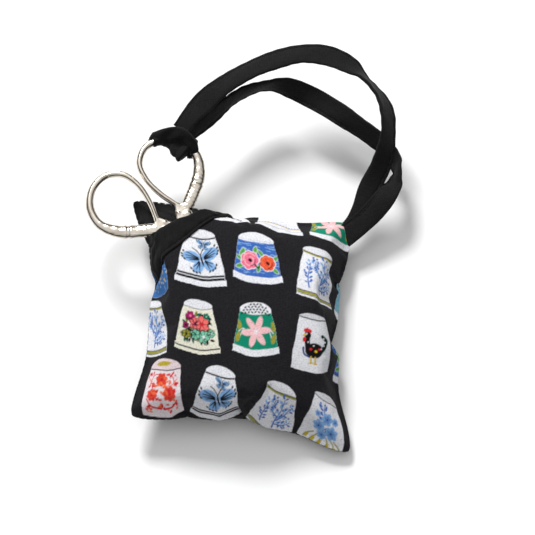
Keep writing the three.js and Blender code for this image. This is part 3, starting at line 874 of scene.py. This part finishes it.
# Each thimble: kind, x and y of the middle of its base, turn in degrees.
THIMBLES = [
    (butterfly_thimble, -18.4, 7.1, -1), (rose_thimble, 4.6, 10.8, 0), (sprig_thimble, 29.6, 7.4, -1),
    (bouquet_thimble, -20, -18.2, -1), (star_thimble, 4.4, -16.2, 3), (bird_thimble, 28.6, -19.1, 6),
    (red_thimble, -32.4, -43.6, 4), (butterfly_thimble, -11, -44.4, -5),
    (sprig_thimble, 12.2, -47.4, -12), (spray_thimble, 33.4, -47, -9),
    (speckled_thimble, -42, 3.9, 0), (sprig_thimble, -43, -20.4, 0),
    (spotted_thimble, -7.2, 35.2, 0), (dotted_thimble, 14.8, 34.8, -5), (star_thimble, 37.2, 35, -1),
    (pale_thimble, 53, 6.8, 0), (rose_thimble, 52.6, -19.8, 4),
]


def printed(x, y):
    """The print's ink over points of the flat cloth, as red, green, blue and cover."""
    sheet = {"x": x, "y": y, "ink": np.zeros((len(x), 4))}
    for kind, base_x, base_y, turn in THIMBLES:
        kind(Cloth(sheet, base_x, base_y, turn))
    return sheet["ink"]


# ---- the pocket's panel ----

FINE = 296  # cells along each side of the panel's face
STEP = 4  # of the face's cells to each cell of the lining
MOUTH_OUTER = [(-0.12, 1), (-0.57, 0.69), (-1, 0.46)]
MOUTH_INNER = [(0.03, 1), (-0.5, 0.51), (-1, 0.12)]
RAW_EDGE = 0.42  # the panel's own edge, from the fold to the stitched edge of the binding


def bezier(points, s):
    a, b, c = (np.array(p, float) for p in points)
    s = np.asarray(s, float)[..., None]
    return (1 - s) ** 2 * a + 2 * s * (1 - s) * b + s**2 * c


def mouth_at(along, across):
    w = np.asarray(across, float)[..., None]
    return bezier(MOUTH_OUTER, along) * (1 - w) + bezier(MOUTH_INNER, along) * w


def below_mouth(u, v):
    """True for the cloth on the cushion's side of the panel's raw edge."""
    line = mouth_at(np.linspace(0, 1, 60), np.full(60, RAW_EDGE))[::-1]
    reach = np.interp(u, line[:, 0], line[:, 1], left=1, right=2)
    return v < reach


def panel_cells():
    n = FINE // STEP
    t = (np.arange(n) + 0.5) / n * 2 - 1
    return below_mouth(*np.meshgrid(t, t, indexing="ij"))


def panel_rim(kept, face_id, lining_id):
    """The faces that close the panel's edge: four edges of the face to one of the lining."""
    faces = []
    padded_cells = np.pad(kept, 1)
    for i, j in zip(*np.nonzero(kept)):
        corners = [(i, j), (i + 1, j), (i + 1, j + 1), (i, j + 1)]
        neighbours = [(i, j - 1), (i + 1, j), (i, j + 1), (i - 1, j)]
        for k, (ni, nj) in enumerate(neighbours):
            if padded_cells[ni + 1, nj + 1]:
                continue
            (a0, a1), (b0, b1) = corners[k], corners[(k + 1) % 4]
            row = [(a0 * STEP + (b0 - a0) * q, a1 * STEP + (b1 - a1) * q) for q in range(STEP + 1)]
            faces.append([face_id[r] for r in row][::-1] + [lining_id[a0, a1], lining_id[b0, b1]])
    return faces


def pocket_panel(material):
    kept = panel_cells()
    n = len(kept)
    t = np.linspace(-1, 1, FINE + 1)
    u, v = np.meshgrid(t, t, indexing="ij")
    flat_face = np.stack([u, v], -1)
    flat_lining = flat_face[::STEP, ::STEP]
    face_id = np.arange((FINE + 1) ** 2).reshape(FINE + 1, FINE + 1)
    lining_id = face_id.size + np.arange((n + 1) ** 2).reshape(n + 1, n + 1)
    fine_kept = np.repeat(np.repeat(kept, STEP, 0), STEP, 1)
    faces = grid_faces(face_id)[fine_kept.ravel()].tolist()
    faces += grid_faces(lining_id)[kept.ravel()][:, ::-1].tolist()
    faces += panel_rim(kept, face_id, lining_id)
    flat = np.concatenate([flat_face.reshape(-1, 2), flat_lining.reshape(-1, 2)])
    lift = np.where(np.arange(len(flat)) < face_id.size, CLOTH, 0.0)
    points = front(flat[:, 0], flat[:, 1], lift)
    flat *= FLAT_HALF
    used = np.unique(np.concatenate([np.ravel(f) for f in faces])).astype(int)
    renumber = np.zeros(len(points), int)
    renumber[used] = np.arange(len(used))
    faces = [renumber[f] for f in faces]
    solid, name, slot = (points[used], faces), "printed_pocket_panel", "printed_cotton"
    piece = make_piece(name, solid, material, "cushion", ["pocket_panel"], flat[used] * MM)
    ink_layer = piece.data.attributes.new("print", "FLOAT_COLOR", "POINT")
    colours = printed(flat[used, 0], flat[used, 1])
    colours[used >= face_id.size, 3] = 0
    ink_layer.data.foreach_set("color", colours.astype(np.float32).ravel())
    return outward(piece)


# ---- the cushion's black body, under and behind the pocket ----

BODY_GRID = 150
BODY_CAP = 21.0  # the stuffing under the scissors


def cushion_surface(u, v):
    """The base panel's face, which the pocket lies on."""
    p = natural_front(u, v)
    edge = np.maximum(np.abs(u), np.abs(v))
    drop = 0.5 + 0.55 * smoothstep(1, 0.9, edge)
    p[..., 2] = smooth_min(p[..., 2] - drop, BODY_CAP, 0.8)
    return p


def cushion_back(u, v):
    p = lie_down(on_grid(BAG[1], u, v), UNDER_HEIGHT / BAG_MIDDLE[1])
    edge = np.maximum(np.abs(u), np.abs(v))
    p[..., 2] -= 0.5 * smoothstep(0.9, 1, edge)
    p[..., 2] = np.maximum(p[..., 2], 0.05)
    return p


def cushion_body(material):
    n = BODY_GRID
    t = np.sin(np.linspace(-1, 1, n + 1) * math.pi / 2) * 0.6 + np.linspace(-1, 1, n + 1) * 0.4
    u, v = np.meshgrid(t, t, indexing="ij")
    top, back = cushion_surface(u, v), cushion_back(u, v)
    rim = np.maximum(np.abs(u), np.abs(v)) > 1 - 1e-9
    top_id = np.arange((n + 1) ** 2).reshape(n + 1, n + 1)
    back_id = top_id.copy()
    back_id[~rim] = top_id.size + np.arange((~rim).sum())
    points = np.concatenate([top.reshape(-1, 3), back[~rim]])
    flat = np.stack([u, v], -1)
    flat = np.concatenate([flat.reshape(-1, 2), flat[~rim]]) * FLAT_HALF * MM
    solid = points, grid_faces(top_id).tolist() + grid_faces(back_id)[:, ::-1].tolist()
    covered = ["back_panel", "base_panel", "filling"]
    name, slot = "black_cushion_body", "black_cotton"
    return outward(make_piece(name, solid, material, "cushion", covered, flat))


# ---- stitches ----

STITCH_SIDES = 6
RIM_STEPS = 160  # along each side
RIM_INSET, RIM_DROP, RIM_PROUD = 0.999, 0.2, 0.12


def stitch(start, end, radius):
    """One thread's length lying on the cloth, thinner at both ends."""
    start, end = np.asarray(start, float), np.asarray(end, float)
    ahead = unit(end - start)
    side = unit(np.cross(ahead, [0.31, 0.17, 0.94]))
    top = np.cross(side, ahead)
    rings = []
    angle = circle(STITCH_SIDES)[:, None]
    for s in (0, 0.12, 0.35, 0.65, 0.88, 1):
        size = radius * (0.35 + 0.65 * math.sin(math.pi * min(max(s, 0.06), 0.94)) ** 0.5)
        rings.append(start + (end - start) * s + size * (np.cos(angle) * side + np.sin(angle) * top))
    return tube(np.array(rings))


def stitches(path, length, gap, radius):
    """A row of stitches along a dense path of points."""
    reach = np.concatenate([[0], np.cumsum(np.linalg.norm(np.diff(path, axis=0), axis=1))])

    def at(distance):
        return np.array([np.interp(distance, reach, path[:, k]) for k in range(3)])

    starts = np.arange(gap, reach[-1] - length, length + gap)
    return joined(*(stitch(at(d), at(d + length), radius) for d in starts))


def rim_line():
    """Points along the seam, once round."""
    t = np.linspace(-1, 1, RIM_STEPS, endpoint=False) * RIM_INSET
    one = np.full(RIM_STEPS, RIM_INSET)
    path = natural_front(np.concatenate([t, one, -t, -one]), np.concatenate([-one, t, one, -t]))
    path[:, 2] -= RIM_DROP
    path[:, :2] += unit(path - path.mean(0))[:, :2] * RIM_PROUD
    return path


def seam_stitches(material):
    path = rim_line()
    solid = stitches(np.concatenate([path, path[:1]]), 2.1, 0.45, 0.2)
    return make_piece("seam_stitches", solid, material, "cushion", ["seam_thread"])


# ---- the binding over the pocket's mouth ----

BINDING_STEPS = 170
BINDING_STITCH = 0.87  # the stitch line, from the fold to the binding's lower edge


def binding_profile():
    """The folded tape's section, once round: share across, height over the panel, share of the puff."""
    upper = [(1.0, 0.42, 0), (0.985, 0.82, 0), (0.94, 0.95, 0), (0.89, 0.86, 0), (BINDING_STITCH, 0.6, 0),
             (0.85, 0.86, 0.1), (0.8, 0.98, 0.3)]
    upper += [(w, 1.0, 1.0) for w in (0.72, 0.64, 0.56, 0.48, 0.4, 0.32, 0.24, 0.16)]
    fold = [(0.09, 0.96, 0.8), (0.03, 0.72, 0.5), (-0.02, 0.3, 0.2), (-0.03, -0.2, 0), (0, -0.62, 0),
            (0.06, -0.95, 0)]
    under = [(w, -1.1, 0) for w in (0.2, 0.34, 0.48, 0.56)]
    back = [(0.56, -0.62, 0), (0.4, -0.62, 0), (0.2, -0.6, 0), (0.12, -0.2, 0), (0.2, 0.45, 0),
            (0.6, 0.46, 0), (0.9, 0.4, 0)]
    return np.array(upper + fold + under + back)


def binding_wrinkle(along, across):
    """Drag lines that run slantwise from the stitches to the fold."""
    lines = 0.5 * wave(7.3 * along + 0.55 * across, 1, 1.1)
    lines += 0.35 * wave(15.1 * along - 0.8 * across, 1, 0.4)
    lines += 0.3 * wave(3.1 * along + 0.2 * across, 1, 2.3)
    return lines * (0.35 + 0.65 * np.sin(math.pi * np.clip(across, 0, 1)))


def binding_points(along, profile):
    across, height, puff = profile[:, 0], profile[:, 1], profile[:, 2]
    a, w = np.meshgrid(along, across, indexing="ij")
    place = mouth_at(a, w)
    fullness = np.sin(math.pi * np.clip(a, 0, 1)) ** 0.4
    pressed = 0.3 + 0.7 * smoothstep(0, 0.07, a) * smoothstep(1, 0.93, a)  # flatter where it is sewn in
    lift = (height + puff * (0.42 + 0.34 * binding_wrinkle(a, w)) * fullness) * pressed + 0.15
    return front(np.clip(place[..., 0], -0.985, 1), np.clip(place[..., 1], -1, 0.985), lift)


def pocket_binding(material):
    along = np.linspace(0.02, 0.985, BINDING_STEPS)
    solid = tube(binding_points(along, binding_profile()))
    piece = make_piece("mouth_binding", solid, material, "cushion", ["pocket_binding"])
    return outward(piece)


def binding_stitches(material):
    along = np.linspace(0.06, 0.95, 500)
    path = binding_points(along, np.array([(BINDING_STITCH, 0.74, 0.0)]))[:, 0]
    solid = stitches(path, 1.9, 0.6, 0.17)
    return make_piece("mouth_binding_stitches", solid, material, "cushion")


# ---- the strap: one folded, edge-stitched tape, as two runs ----

TAPE_HALF, TAPE_THICK = 4.15, 0.66  # half of each
TAPE_STEPS = 190
TAPE_STITCH = 3.0  # from the middle line towards the open edge

# Each run's route from the corner to the hitch: middle of the tape, then the way its width points.
UPPER_RUN = [
    (35.6, 37.6, 7.6, 0.72, -0.68, -0.15), (39.8, 42.4, 9.2, 0.76, -0.63, -0.15),
    (42.2, 47.7, 11.0, 0.85, -0.5, -0.15), (44.2, 55, 13.8, 0.93, -0.34, -0.15),
    (48.2, 63.9, 18.6, 0.91, -0.02, -0.42), (49.7, 70.8, 22.5, 0.73, 0.19, -0.65),
    (49.9, 75.9, 25, 0.61, 0.35, -0.71),
    (49.2, 80.5, 26.8, 0.61, 0.31, -0.73), (46.8, 86.2, 28.2, 0.55, 0.19, -0.81),
    (43.4, 90.3, 29.2, 0.29, 0.39, -0.87), (39.9, 93.6, 30, 0.07, 0.57, -0.82),
    (33.9, 98.2, 30.5, 0.07, 0.95, -0.29), (26.3, 101.5, 30.5, -0.07, 0.98, -0.05),
    (15.4, 102.1, 30.5, -0.2, 0.96, -0.21), (4.9, 98.5, 30.5, -0.34, 0.92, -0.21),
    (-5, 93.3, 30.5, -0.42, 0.85, -0.31), (-13, 87.3, 30, -0.55, 0.81, -0.2),
    (-19.4, 80.9, 29, -0.73, 0.68, 0.12), (-24, 75.1, 28, -0.77, 0.64, -0.04),
    (-27.6, 69.4, 26, -0.77, 0.63, 0.05),
]
LOWER_RUN = [
    (35.2, 36.6, 9.0, 0.62, -0.78, -0.1), (41.0, 41.4, 11.4, 0.66, -0.74, -0.15),
    (45.2, 45.3, 13.2, 0.69, -0.7, -0.2), (48.9, 49.7, 15.0, 0.7, -0.68, -0.2),
    (51.8, 54.4, 15.6, 0.7, -0.62, 0.3), (53.9, 59.1, 15, 0.48, -0.46, 0.75),
    (54.5, 62.9, 15.8, 0.25, -0.37, 0.91), (54, 65.6, 15.8, 0.42, -0.15, 0.9),
    (52.5, 69, 15.8, 0.45, 0.04, 0.89), (49.5, 72.2, 16.2, 0.39, 0.23, 0.89),
    (45.5, 75.3, 17, 0.38, 0.4, 0.84), (37.4, 80.1, 18.3, 0.42, 0.47, 0.78),
    (29.7, 84.4, 19, 0.42, 0.8, 0.4), (19.5, 89.6, 19.5, 0.36, 0.84, 0.42),
    (12, 92.3, 20, 0.4, 0.56, 0.72), (6.8, 92.9, 20.5, 0.26, 0.2, 0.94),
    (1.9, 91.9, 21, 0, -0.03, 1), (-4, 89.2, 21.5, -0.18, -0.03, 0.98),
    (-9.8, 85, 22, -0.18, 0.01, 0.98), (-15.4, 79.6, 22, -0.37, 0.12, 0.92),
    (-20.7, 74.1, 21.8, -0.46, 0.13, 0.88), (-26, 68.8, 22, -0.46, 0.13, 0.88),
]


def tape_section():
    """The tape's section as width and thickness: a round fold, a stitch groove and two open edges."""
    w, t, s = TAPE_HALF, TAPE_THICK, TAPE_STITCH
    top = [(-w + 0.5, t), (-w + 1.6, t * 1.04), (-1, t * 1.1), (1.2, t * 1.08), (s - 0.6, t)]
    top += [(s - 0.2, t * 0.74), (s, t * 0.5), (s + 0.2, t * 0.74), (s + 0.5, t * 0.98)]
    top += [(w - 0.15, t * 0.95), (w, t * 0.8)]
    open_edge = [(w, 0.16), (w - 0.3, 0.03), (w - 0.3, -0.03), (w, -0.16)]
    under = [(x, -y) for x, y in reversed(top)]
    fold = [(-w + 0.14, -t * 0.66), (-w, 0), (-w + 0.14, t * 0.66)]
    return np.array(top + open_edge + under + fold)


def tape_frame(route, steps=TAPE_STEPS):
    """Middle points, width directions and face directions along a run, all smooth."""
    stations = catmull(np.array(route, float), np.linspace(0, 1, steps))
    middle = stations[:, :3]
    ahead = tangents(middle)
    wide = stations[:, 3:]
    wide = unit(wide - (wide * ahead).sum(1, keepdims=True) * ahead)
    return middle, wide, np.cross(ahead, wide)


def swept(middle, a, along_a, b, along_b):
    """Rings round a row of middle points, from distances along two directions at each of them."""
    return middle[:, None] + a[..., None] * along_a[:, None] + b[..., None] * along_b[:, None]


def tape_points(route, flip):
    """A run's rings. flip is -1 to have the stitched edge on the other side."""
    middle, wide, face = tape_frame(route)
    section = tape_section()
    s = np.linspace(0, 1, len(middle))[:, None]
    across, through = section[:, 0] * flip, section[:, 1] * flip
    pucker = 0.12 * wave(s, 31, across) * bump(np.abs(across), 3.4, 1)
    cup = 0.022 * across**2 * wave(s, 1.5, 0.7) + 0.1 * wave(s, 6, 0.8 * across)
    return swept(middle, across * (1 + 0.012 * wave(s, 9, 0.4)), wide, through + pucker + cup, face)


def hitch_gather(rings):
    """The last tenth of a run, drawn together where the hitch grips it."""
    squeeze = 1 - 0.2 * smoothstep(0.9, 1, np.linspace(0, 1, len(rings)))
    middle = rings.mean(1, keepdims=True)
    return middle + (rings - middle) * squeeze[:, None, None]


def strap_run(name, route, flip, material, node):
    rings = hitch_gather(tape_points(route, flip))
    piece = outward(make_piece(name, tube(rings), material, None, [node]))
    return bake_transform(piece)


def strap_stitches(name, route, flip, material):
    middle, wide, face = tape_frame(route, 600)
    rows = []
    for side in (1, -1):
        path = middle + wide * TAPE_STITCH * flip + face * side * (TAPE_THICK * 0.72)
        rows.append(stitches(path[30:-30], 1.9, 0.6, 0.16))
    piece = make_piece(name, joined(*rows), material, None)
    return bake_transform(piece)


# ---- the scissors, in their own frame until placed() ----

# One bow's centre line as x, y and half width, from the inner leg round to the shank.
BOW = [
    (-13, 4.9, 0.95), (-21, 2.55, 1.05), (-29, 1.9, 1.1), (-35.6, 3.8, 1.25), (-39.3, 9.3, 1.35),
    (-38.3, 15.7, 1.45), (-32.8, 21.3, 1.6), (-25, 22.6, 1.8), (-18.7, 19, 2.35), (-14.2, 13.2, 2.5),
    (-10.6, 7, 2.4),
]
WIRE_THICK = 1.5  # half of it, up and down
BLADE_THICK, LAYER_GAP = 1.22, 0.06
# The blade's outline: how far along, then where its back and its edge are.
BLADE = [
    (-2.4, -2.6, 3.4), (1, -3.7, 3.3), (6, -3.3, 2), (22, -2.7, 1.4), (36, -1.8, 0.9),
    (44, -0.7, 0.45), (47, 0, 0.12),
]
SHANK = [(-14.2, 4.2), (-11, 2.2), (-8.2, 0.7), (-6, 0.7), (-5, 3.2), (-8.6, 7.2), (-11.6, 8.4)]
SHANK_THICK = 1.35  # half of it
NECK = [(-8, 0.9), (0, -3.4), (3, -1), (0, 3.4), (-5.6, 3.9)]
BOSS_RADIUS = 3.7  # round the pivot
HANDLE_VOXEL = 0.24
CHASING_DEPTH = 0.035
SCREW_RADIUS = 1.2
SCREW_HEAD = [(2.3, 0), (2.5, 0.1), (2.4, 0.28), (1.9, 0.42), (1.1, 0.48), (0.5, 0.5)]  # radius and height
SLOT_DEPTH, SLOT_HALF = 0.26, 0.42


def placed(points):
    """From the scissors' own frame to the part's."""
    p = np.asarray(points, float)
    return PIVOT + p[..., :1] * BLADE_AXIS + p[..., 1:2] * SIDE_AXIS + p[..., 2:] * UP


def bow_line(side, t):
    line = catmull(np.array([(x, side * y, half) for x, y, half in BOW]), t)
    middle = np.stack([line[:, 0], line[:, 1], np.zeros(len(line))], -1)
    return middle, line[:, 2]


def bow_tube(side):
    """The finger ring: an oval wire that widens towards the shank, with cast bands near its end."""
    t = np.linspace(0, 1, 150)
    middle, half = bow_line(side, t)
    bands = sum(0.2 * bump(t, place, 0.006) for place in (0.845, 0.87, 0.945))
    facets = 0.05 * wave(t, 23) * smoothstep(0.66, 0.74, t)
    out = np.cross(tangents(middle), UP)
    angle = circle(20)
    swell = (bands - 0.12 * bump(t, 0.857, 0.006) + facets)[:, None]
    across = np.cos(angle) * (half[:, None] + swell)
    through = np.sin(angle) * (WIRE_THICK + swell)
    return tube(swept(middle, across, out, through, np.broadcast_to(UP, out.shape)))


def slab(outline, low, high, bevel=0.35):
    """A plate with bevelled edges over an outline of x and y."""
    o = np.array(outline, float)
    middle = o.mean(0)
    inner = o + unit(middle - o) * bevel
    levels = [(inner, low), (o, low + bevel), (o, high - bevel), (inner, high)]
    return tube(np.array([np.concatenate([q, np.full((len(q), 1), z)], 1) for q, z in levels]))


def ball(centre, size, sides=18):
    """An ellipsoid; size is its three half lengths."""
    down, round_it = np.meshgrid(np.linspace(0.02, math.pi - 0.02, sides), circle(sides), indexing="ij")
    ring = np.stack([np.sin(down) * np.cos(round_it), np.sin(down) * np.sin(round_it), np.cos(down)], -1)
    return tube(np.asarray(centre, float) + ring * np.asarray(size, float))


def turned(levels, sides):
    """Rings round the pivot's axis, one for each radius and height."""
    a = circle(sides)
    return np.array([np.stack([r * np.cos(a), r * np.sin(a), np.full(sides, z)], -1) for r, z in levels])


def disc(radius, low, high, bevel):
    inner = radius - bevel
    return tube(turned([(inner, low), (radius, low + bevel), (radius, high - bevel), (inner, high)], 36))


def handle_parts(side, low, high):
    """One half's solids behind the blade, which overlap until they are fused."""
    shank = slab(np.array(SHANK) * [1, side], -SHANK_THICK, SHANK_THICK)
    neck = slab(np.array(NECK) * [1, side], low, high, 0.2)
    cusp = ball((-12.6, side * 4.9, 0), (1.9, 1.2, 1.5))
    knob = ball((-10.2, side * 3.1, 0.25), (1.1, 0.9, 1.45))
    waist = ball((-8.2, side * 5, 0), (2.4, 2.6, 1.62))
    collar = ball((-6.4, side * 2.4, 0), (1.4, 2.1, 1.45))
    boss = disc(BOSS_RADIUS, low, high, 0.25)
    return [bow_tube(side), shank, neck, cusp, knob, waist, collar, boss]


def fused(solids, voxel, smooth_rounds):
    """One closed casting from several overlapping solids, as points and faces."""
    points, faces = joined(*solids)
    casting = plain_object("casting", points, faces)
    remesh = casting.modifiers.new("fuse", "REMESH")
    remesh.mode = "VOXEL"
    remesh.voxel_size = voxel
    smooth = casting.modifiers.new("smooth", "SMOOTH")
    smooth.iterations = smooth_rounds
    smooth.factor = 0.5
    evaluated = casting.evaluated_get(bpy.context.evaluated_depsgraph_get())
    made = evaluated.to_mesh()
    solid = mesh_points(made), [tuple(p.vertices) for p in made.polygons]
    evaluated.to_mesh_clear()
    bpy.data.objects.remove(casting)
    return solid


def cast_texture(points, side):
    """Shallow chased marks on the outer part of the bow and on the shank."""
    x, y, z = points.T
    marks = np.sin((1.3 * x + 0.9 * side * y) * 2.1) * np.sin(x * 3.7 - y * 2.9)
    where = smoothstep(-24, -16, x) * smoothstep(-4.5, -7, x) * smoothstep(6, 9, y * side + 0.25 * (x + 18))
    out = points.copy()
    out[:, 2] += CHASING_DEPTH * marks * where * np.sign(z)
    return out


def blade_solid(side, low, high):
    """A blade ground flat inside and bevelled down to its edge outside."""
    heel, tip = BLADE[0][0], BLADE[-1][0]
    x = np.concatenate([np.linspace(heel, 40, 46), np.linspace(40.5, tip, 14)])
    shape = np.array(BLADE)
    back, edge = (np.interp(x, shape[:, 0], shape[:, k]) for k in (1, 2))
    outer, inner = (high, low) if high > abs(low) else (low, high)
    width = edge - back
    rings = []
    for i in range(len(x)):
        thin = outer - (outer - inner) * 0.55 * smoothstep(20, tip, x[i])
        row = [(back[i], inner), (edge[i], inner), (edge[i], inner + 0.1 * np.sign(outer - inner)),
               (edge[i] - 0.42 * width[i], thin), (back[i] + 0.12 * width[i], thin),
               (back[i], thin - 0.12 * (thin - inner))]
        rings.append([(x[i], side * y, z) for y, z in row])
    return tube(np.array(rings))


def scissor_half(name, side, upper, material, body, node):
    """One half: side is 1 for the right bow, and upper is True for the blade on top."""
    low = LAYER_GAP if upper else -LAYER_GAP - BLADE_THICK
    high = low + BLADE_THICK
    handle_points, handle_faces = fused(handle_parts(side, low, high), HANDLE_VOXEL, 4)
    handle = (cast_texture(handle_points, side), handle_faces)
    points, faces = joined(handle, blade_solid(side, low, high))
    return outward(make_piece(name, (placed(points), faces), material, body, [node]))


def pivot_screw(material):
    """A domed, slotted head on the upper half, and the shaft that goes through both."""
    low = LAYER_GAP + BLADE_THICK + 0.1
    levels = [(SCREW_RADIUS, -LAYER_GAP - BLADE_THICK), (SCREW_RADIUS, low - 0.02)]
    levels += [(r, low + z) for r, z in SCREW_HEAD]
    rings = turned(levels, 40)
    slot = SLOT_DEPTH * np.exp(-((rings[..., 1] / SLOT_HALF) ** 6))
    rings[..., 2] -= np.where(rings[..., 2] > low + 0.2, slot, 0)
    points, faces = tube(rings)
    solid = placed(points), faces
    return outward(make_piece("screw", solid, material, "scissors", ["pivot_screw"]))


# ---- the hitch: the strap's end, gathered round the right bow ----

HITCH_FROM, HITCH_TO = 0.455, 0.665  # along the bow's centre line
HITCH_OUT, HITCH_UP, HITCH_CORE = 4.0, 2.7, 1.3  # its reach outwards and up, and its height at both ends
BOW_MIDDLE = np.array([-26.0, 12.0, 0])
HITCH_HANG = unit([-0.25, 1.0, 0])  # against the way that the loose folds hang into the bow


def hitch_wrap():
    """The cloth round the wire, in folds that run round it, loosest inside the bow."""
    steps, around = 110, 72
    middle, half = bow_line(1, np.linspace(HITCH_FROM, HITCH_TO, steps))
    half = half[:, None] * 0.9
    out = -np.cross(UP, tangents(middle))
    out *= np.sign(((middle - BOW_MIDDLE) * out).sum(1))[:, None]
    s = np.linspace(0, 1, steps)[:, None]
    angle = circle(around)[None]
    end = np.clip(np.minimum(s / 0.1, (1 - s) / 0.07), 0, 1)
    close = np.sqrt(1 - (1 - end) ** 2)
    folds = 0.05 * wave(s, 3.1, 0.7 * np.sin(angle) + 1.9)
    folds += 0.012 * wave(s, 7.3, 1.2 * np.sin(angle + 0.6))
    inside = 2.4 + 4.6 * smoothstep(0.2, 0.85, s)
    reach_out = HITCH_OUT + (inside - HITCH_OUT) * smoothstep(-0.1, 0.4, -np.cos(angle))
    reach_up = HITCH_UP + 0.2 * wave(s, 1.3)
    x = np.cos(angle) * (half + (reach_out * (1 + folds) - half) * close)
    z = np.sin(angle) * (HITCH_CORE + (reach_up * (1 + 1.2 * folds) - HITCH_CORE) * close)
    hang = 0.6 * smoothstep(0.1, 0.7, -np.cos(angle))[..., None]
    away = out[:, None] * (1 - hang) + HITCH_HANG * hang
    return middle[:, None] + x[..., None] * away + z[..., None] * UP


# The bar of the girth hitch: the tape's bight, over the two runs and round behind them.
HITCH_BAR = [
    (-38.6, 65.4, 21.6, 0.3, -0.5, -0.81), (-37.6, 65.8, 24.0, 0.3, -0.55, -0.78),
    (-34.8, 66.2, 26.0, 0.2, -0.66, -0.72), (-31, 66.8, 27.6, 0.0, -0.7, -0.71),
    (-27.2, 66.4, 28.2, -0.34, -0.62, -0.71),
    (-24.4, 64.2, 26.8, -0.55, -0.42, -0.72), (-23.0, 61.8, 24, -0.62, -0.25, -0.74),
    (-22.8, 60.6, 21.2, -0.62, -0.25, -0.74),
]


def hitch_bar():
    """The creased tape of the bar, pinched at both ends."""
    middle, wide, face = tape_frame(HITCH_BAR, 90)
    section = tape_section() * [0.7, 1.0]
    s = np.linspace(0, 1, len(middle))[:, None]
    across, through = section[:, 0], section[:, 1]
    pinch = 1 - 0.35 * bump(s, 0, 0.18) - 0.3 * bump(s, 1, 0.18)
    crease = 0.2 * np.sin(1.7 * across + 7 * s) + 0.22 * wave(s, 3.4, across)
    curl = 0.05 * across**2 * np.sign((face[:, 2:] > 0) - 0.5)
    return swept(middle, across * pinch, wide, through + crease - curl, face)


def strap_hitch(material):
    solid = joined(tube(placed(hitch_wrap())), tube(hitch_bar()))
    return outward(make_piece("hitch", solid, material, "scissors", ["strap_hitch"]))


# ---- floor, light and camera ----

CAMERA_AZIMUTH, CAMERA_ELEVATION = math.radians(4), math.radians(70)
CAMERA_DISTANCE = 0.83594
CAMERA_TARGET = np.array([0.008093, 0.022765, 0.010])
CAMERA_LENS, CAMERA_SENSOR = 150, 36  # millimetres
KEY_DIRECTION = unit([-0.4, 0.9, 1.0])
KEY_TARGET = np.array([0.0, 0.03, 0.01])
KEY_DISTANCE, KEY_SIZE, KEY_POWER = 1.1, 0.34, 12.5  # metres, metres and watts
SKY_DARK, SKY_BRIGHT, SKY_POWER = (0.02,) * 3, (0.95,) * 3, 1.05
FLOOR_HALF = 3


def towards(direction):
    """The rotation that turns a lamp or a camera to look against a direction."""
    return (-Vector(direction)).to_track_quat("-Z", "Y")


def floor():
    material, _, shader = new_material("white_floor")
    shader.inputs["Base Color"].default_value = (0.94, 0.94, 0.94, 1)
    shader.inputs["Roughness"].default_value = 0.9
    shader.inputs["Specular IOR Level"].default_value = 0.1
    h = FLOOR_HALF
    plain = plain_object("floor", [(-h, -h, 0), (h, -h, 0), (h, h, 0), (-h, h, 0)], [(0, 1, 2, 3)])
    plain.data.materials.append(material)


def key_lamp():
    data = bpy.data.lights.new("key", "AREA")
    data.shape = "DISK"
    data.size = KEY_SIZE
    data.energy = KEY_POWER
    light = bpy.data.objects.new("key", data)
    light.location = (KEY_TARGET + KEY_DIRECTION * KEY_DISTANCE).tolist()
    light.rotation_mode = "QUATERNION"
    light.rotation_quaternion = towards(KEY_DIRECTION)
    bpy.context.scene.collection.objects.link(light)


def sky():
    """A bright studio ceiling that darkens towards the walls, so that metal has something to mirror."""
    world = bpy.data.worlds.new("studio")
    world.use_nodes = True
    bpy.context.scene.world = world
    tree = world.node_tree
    place = tree.nodes.new("ShaderNodeTexCoord")
    parts = tree.nodes.new("ShaderNodeSeparateXYZ")
    tree.links.new(place.outputs["Generated"], parts.inputs[0])
    shade = ramp(tree, parts.outputs[2], SKY_DARK, SKY_BRIGHT, 0.42, 0.9)
    tree.links.new(shade, tree.nodes["Background"].inputs["Color"])
    tree.nodes["Background"].inputs["Strength"].default_value = SKY_POWER


def camera():
    a, e = CAMERA_AZIMUTH, CAMERA_ELEVATION
    back = np.array([math.sin(a) * math.cos(e), -math.cos(a) * math.cos(e), math.sin(e)])
    data = bpy.data.cameras.new("camera")
    data.lens, data.sensor_width = CAMERA_LENS, CAMERA_SENSOR
    eye = bpy.data.objects.new("camera", data)
    eye.location = (CAMERA_TARGET + back * CAMERA_DISTANCE).tolist()
    eye.rotation_mode = "QUATERNION"
    eye.rotation_quaternion = towards(back)
    bpy.context.scene.collection.objects.link(eye)
    bpy.context.scene.camera = eye


# ---- put together ----

black_cotton = cloth_material("black_cotton", 0.32, 0.03, 0.85, BODY_DYE, True)
print_cotton = cloth_material("printed_cotton", 0.3, 0.02, 0.85, PRINT_DYE, True, "print")
binding_cotton = cloth_material("binding_cotton", 0.3, 0.035, 0.8, BINDING_DYE)
tape_cotton = cloth_material("black_tape", 0.32, 0.04, 0.78, TAPE_DYE)
thread = cloth_material("thread", 0.12, 0.08, 0.6, THREAD_DYE)
nickel = nickel_material()

cushion_body(black_cotton)
pocket_panel(print_cotton)
seam_stitches(thread)
pocket_binding(binding_cotton)
binding_stitches(thread)
strap_run("upper_strap", UPPER_RUN, 1, tape_cotton, "strap_upper_run")
strap_run("lower_strap", LOWER_RUN, -1, tape_cotton, "strap_lower_run")
strap_stitches("upper_strap_stitches", UPPER_RUN, 1, thread)
strap_stitches("lower_strap_stitches", LOWER_RUN, -1, thread)
scissor_half("scissors_right", 1, False, nickel, "scissors", "scissor_half_right")
scissor_half("scissors_left", -1, True, nickel, "left_half", "scissor_half_left")
pivot_screw(nickel)
strap_hitch(tape_cotton)

floor()
sky()
key_lamp()
camera()
bpy.context.scene.view_settings.view_transform = "Standard"
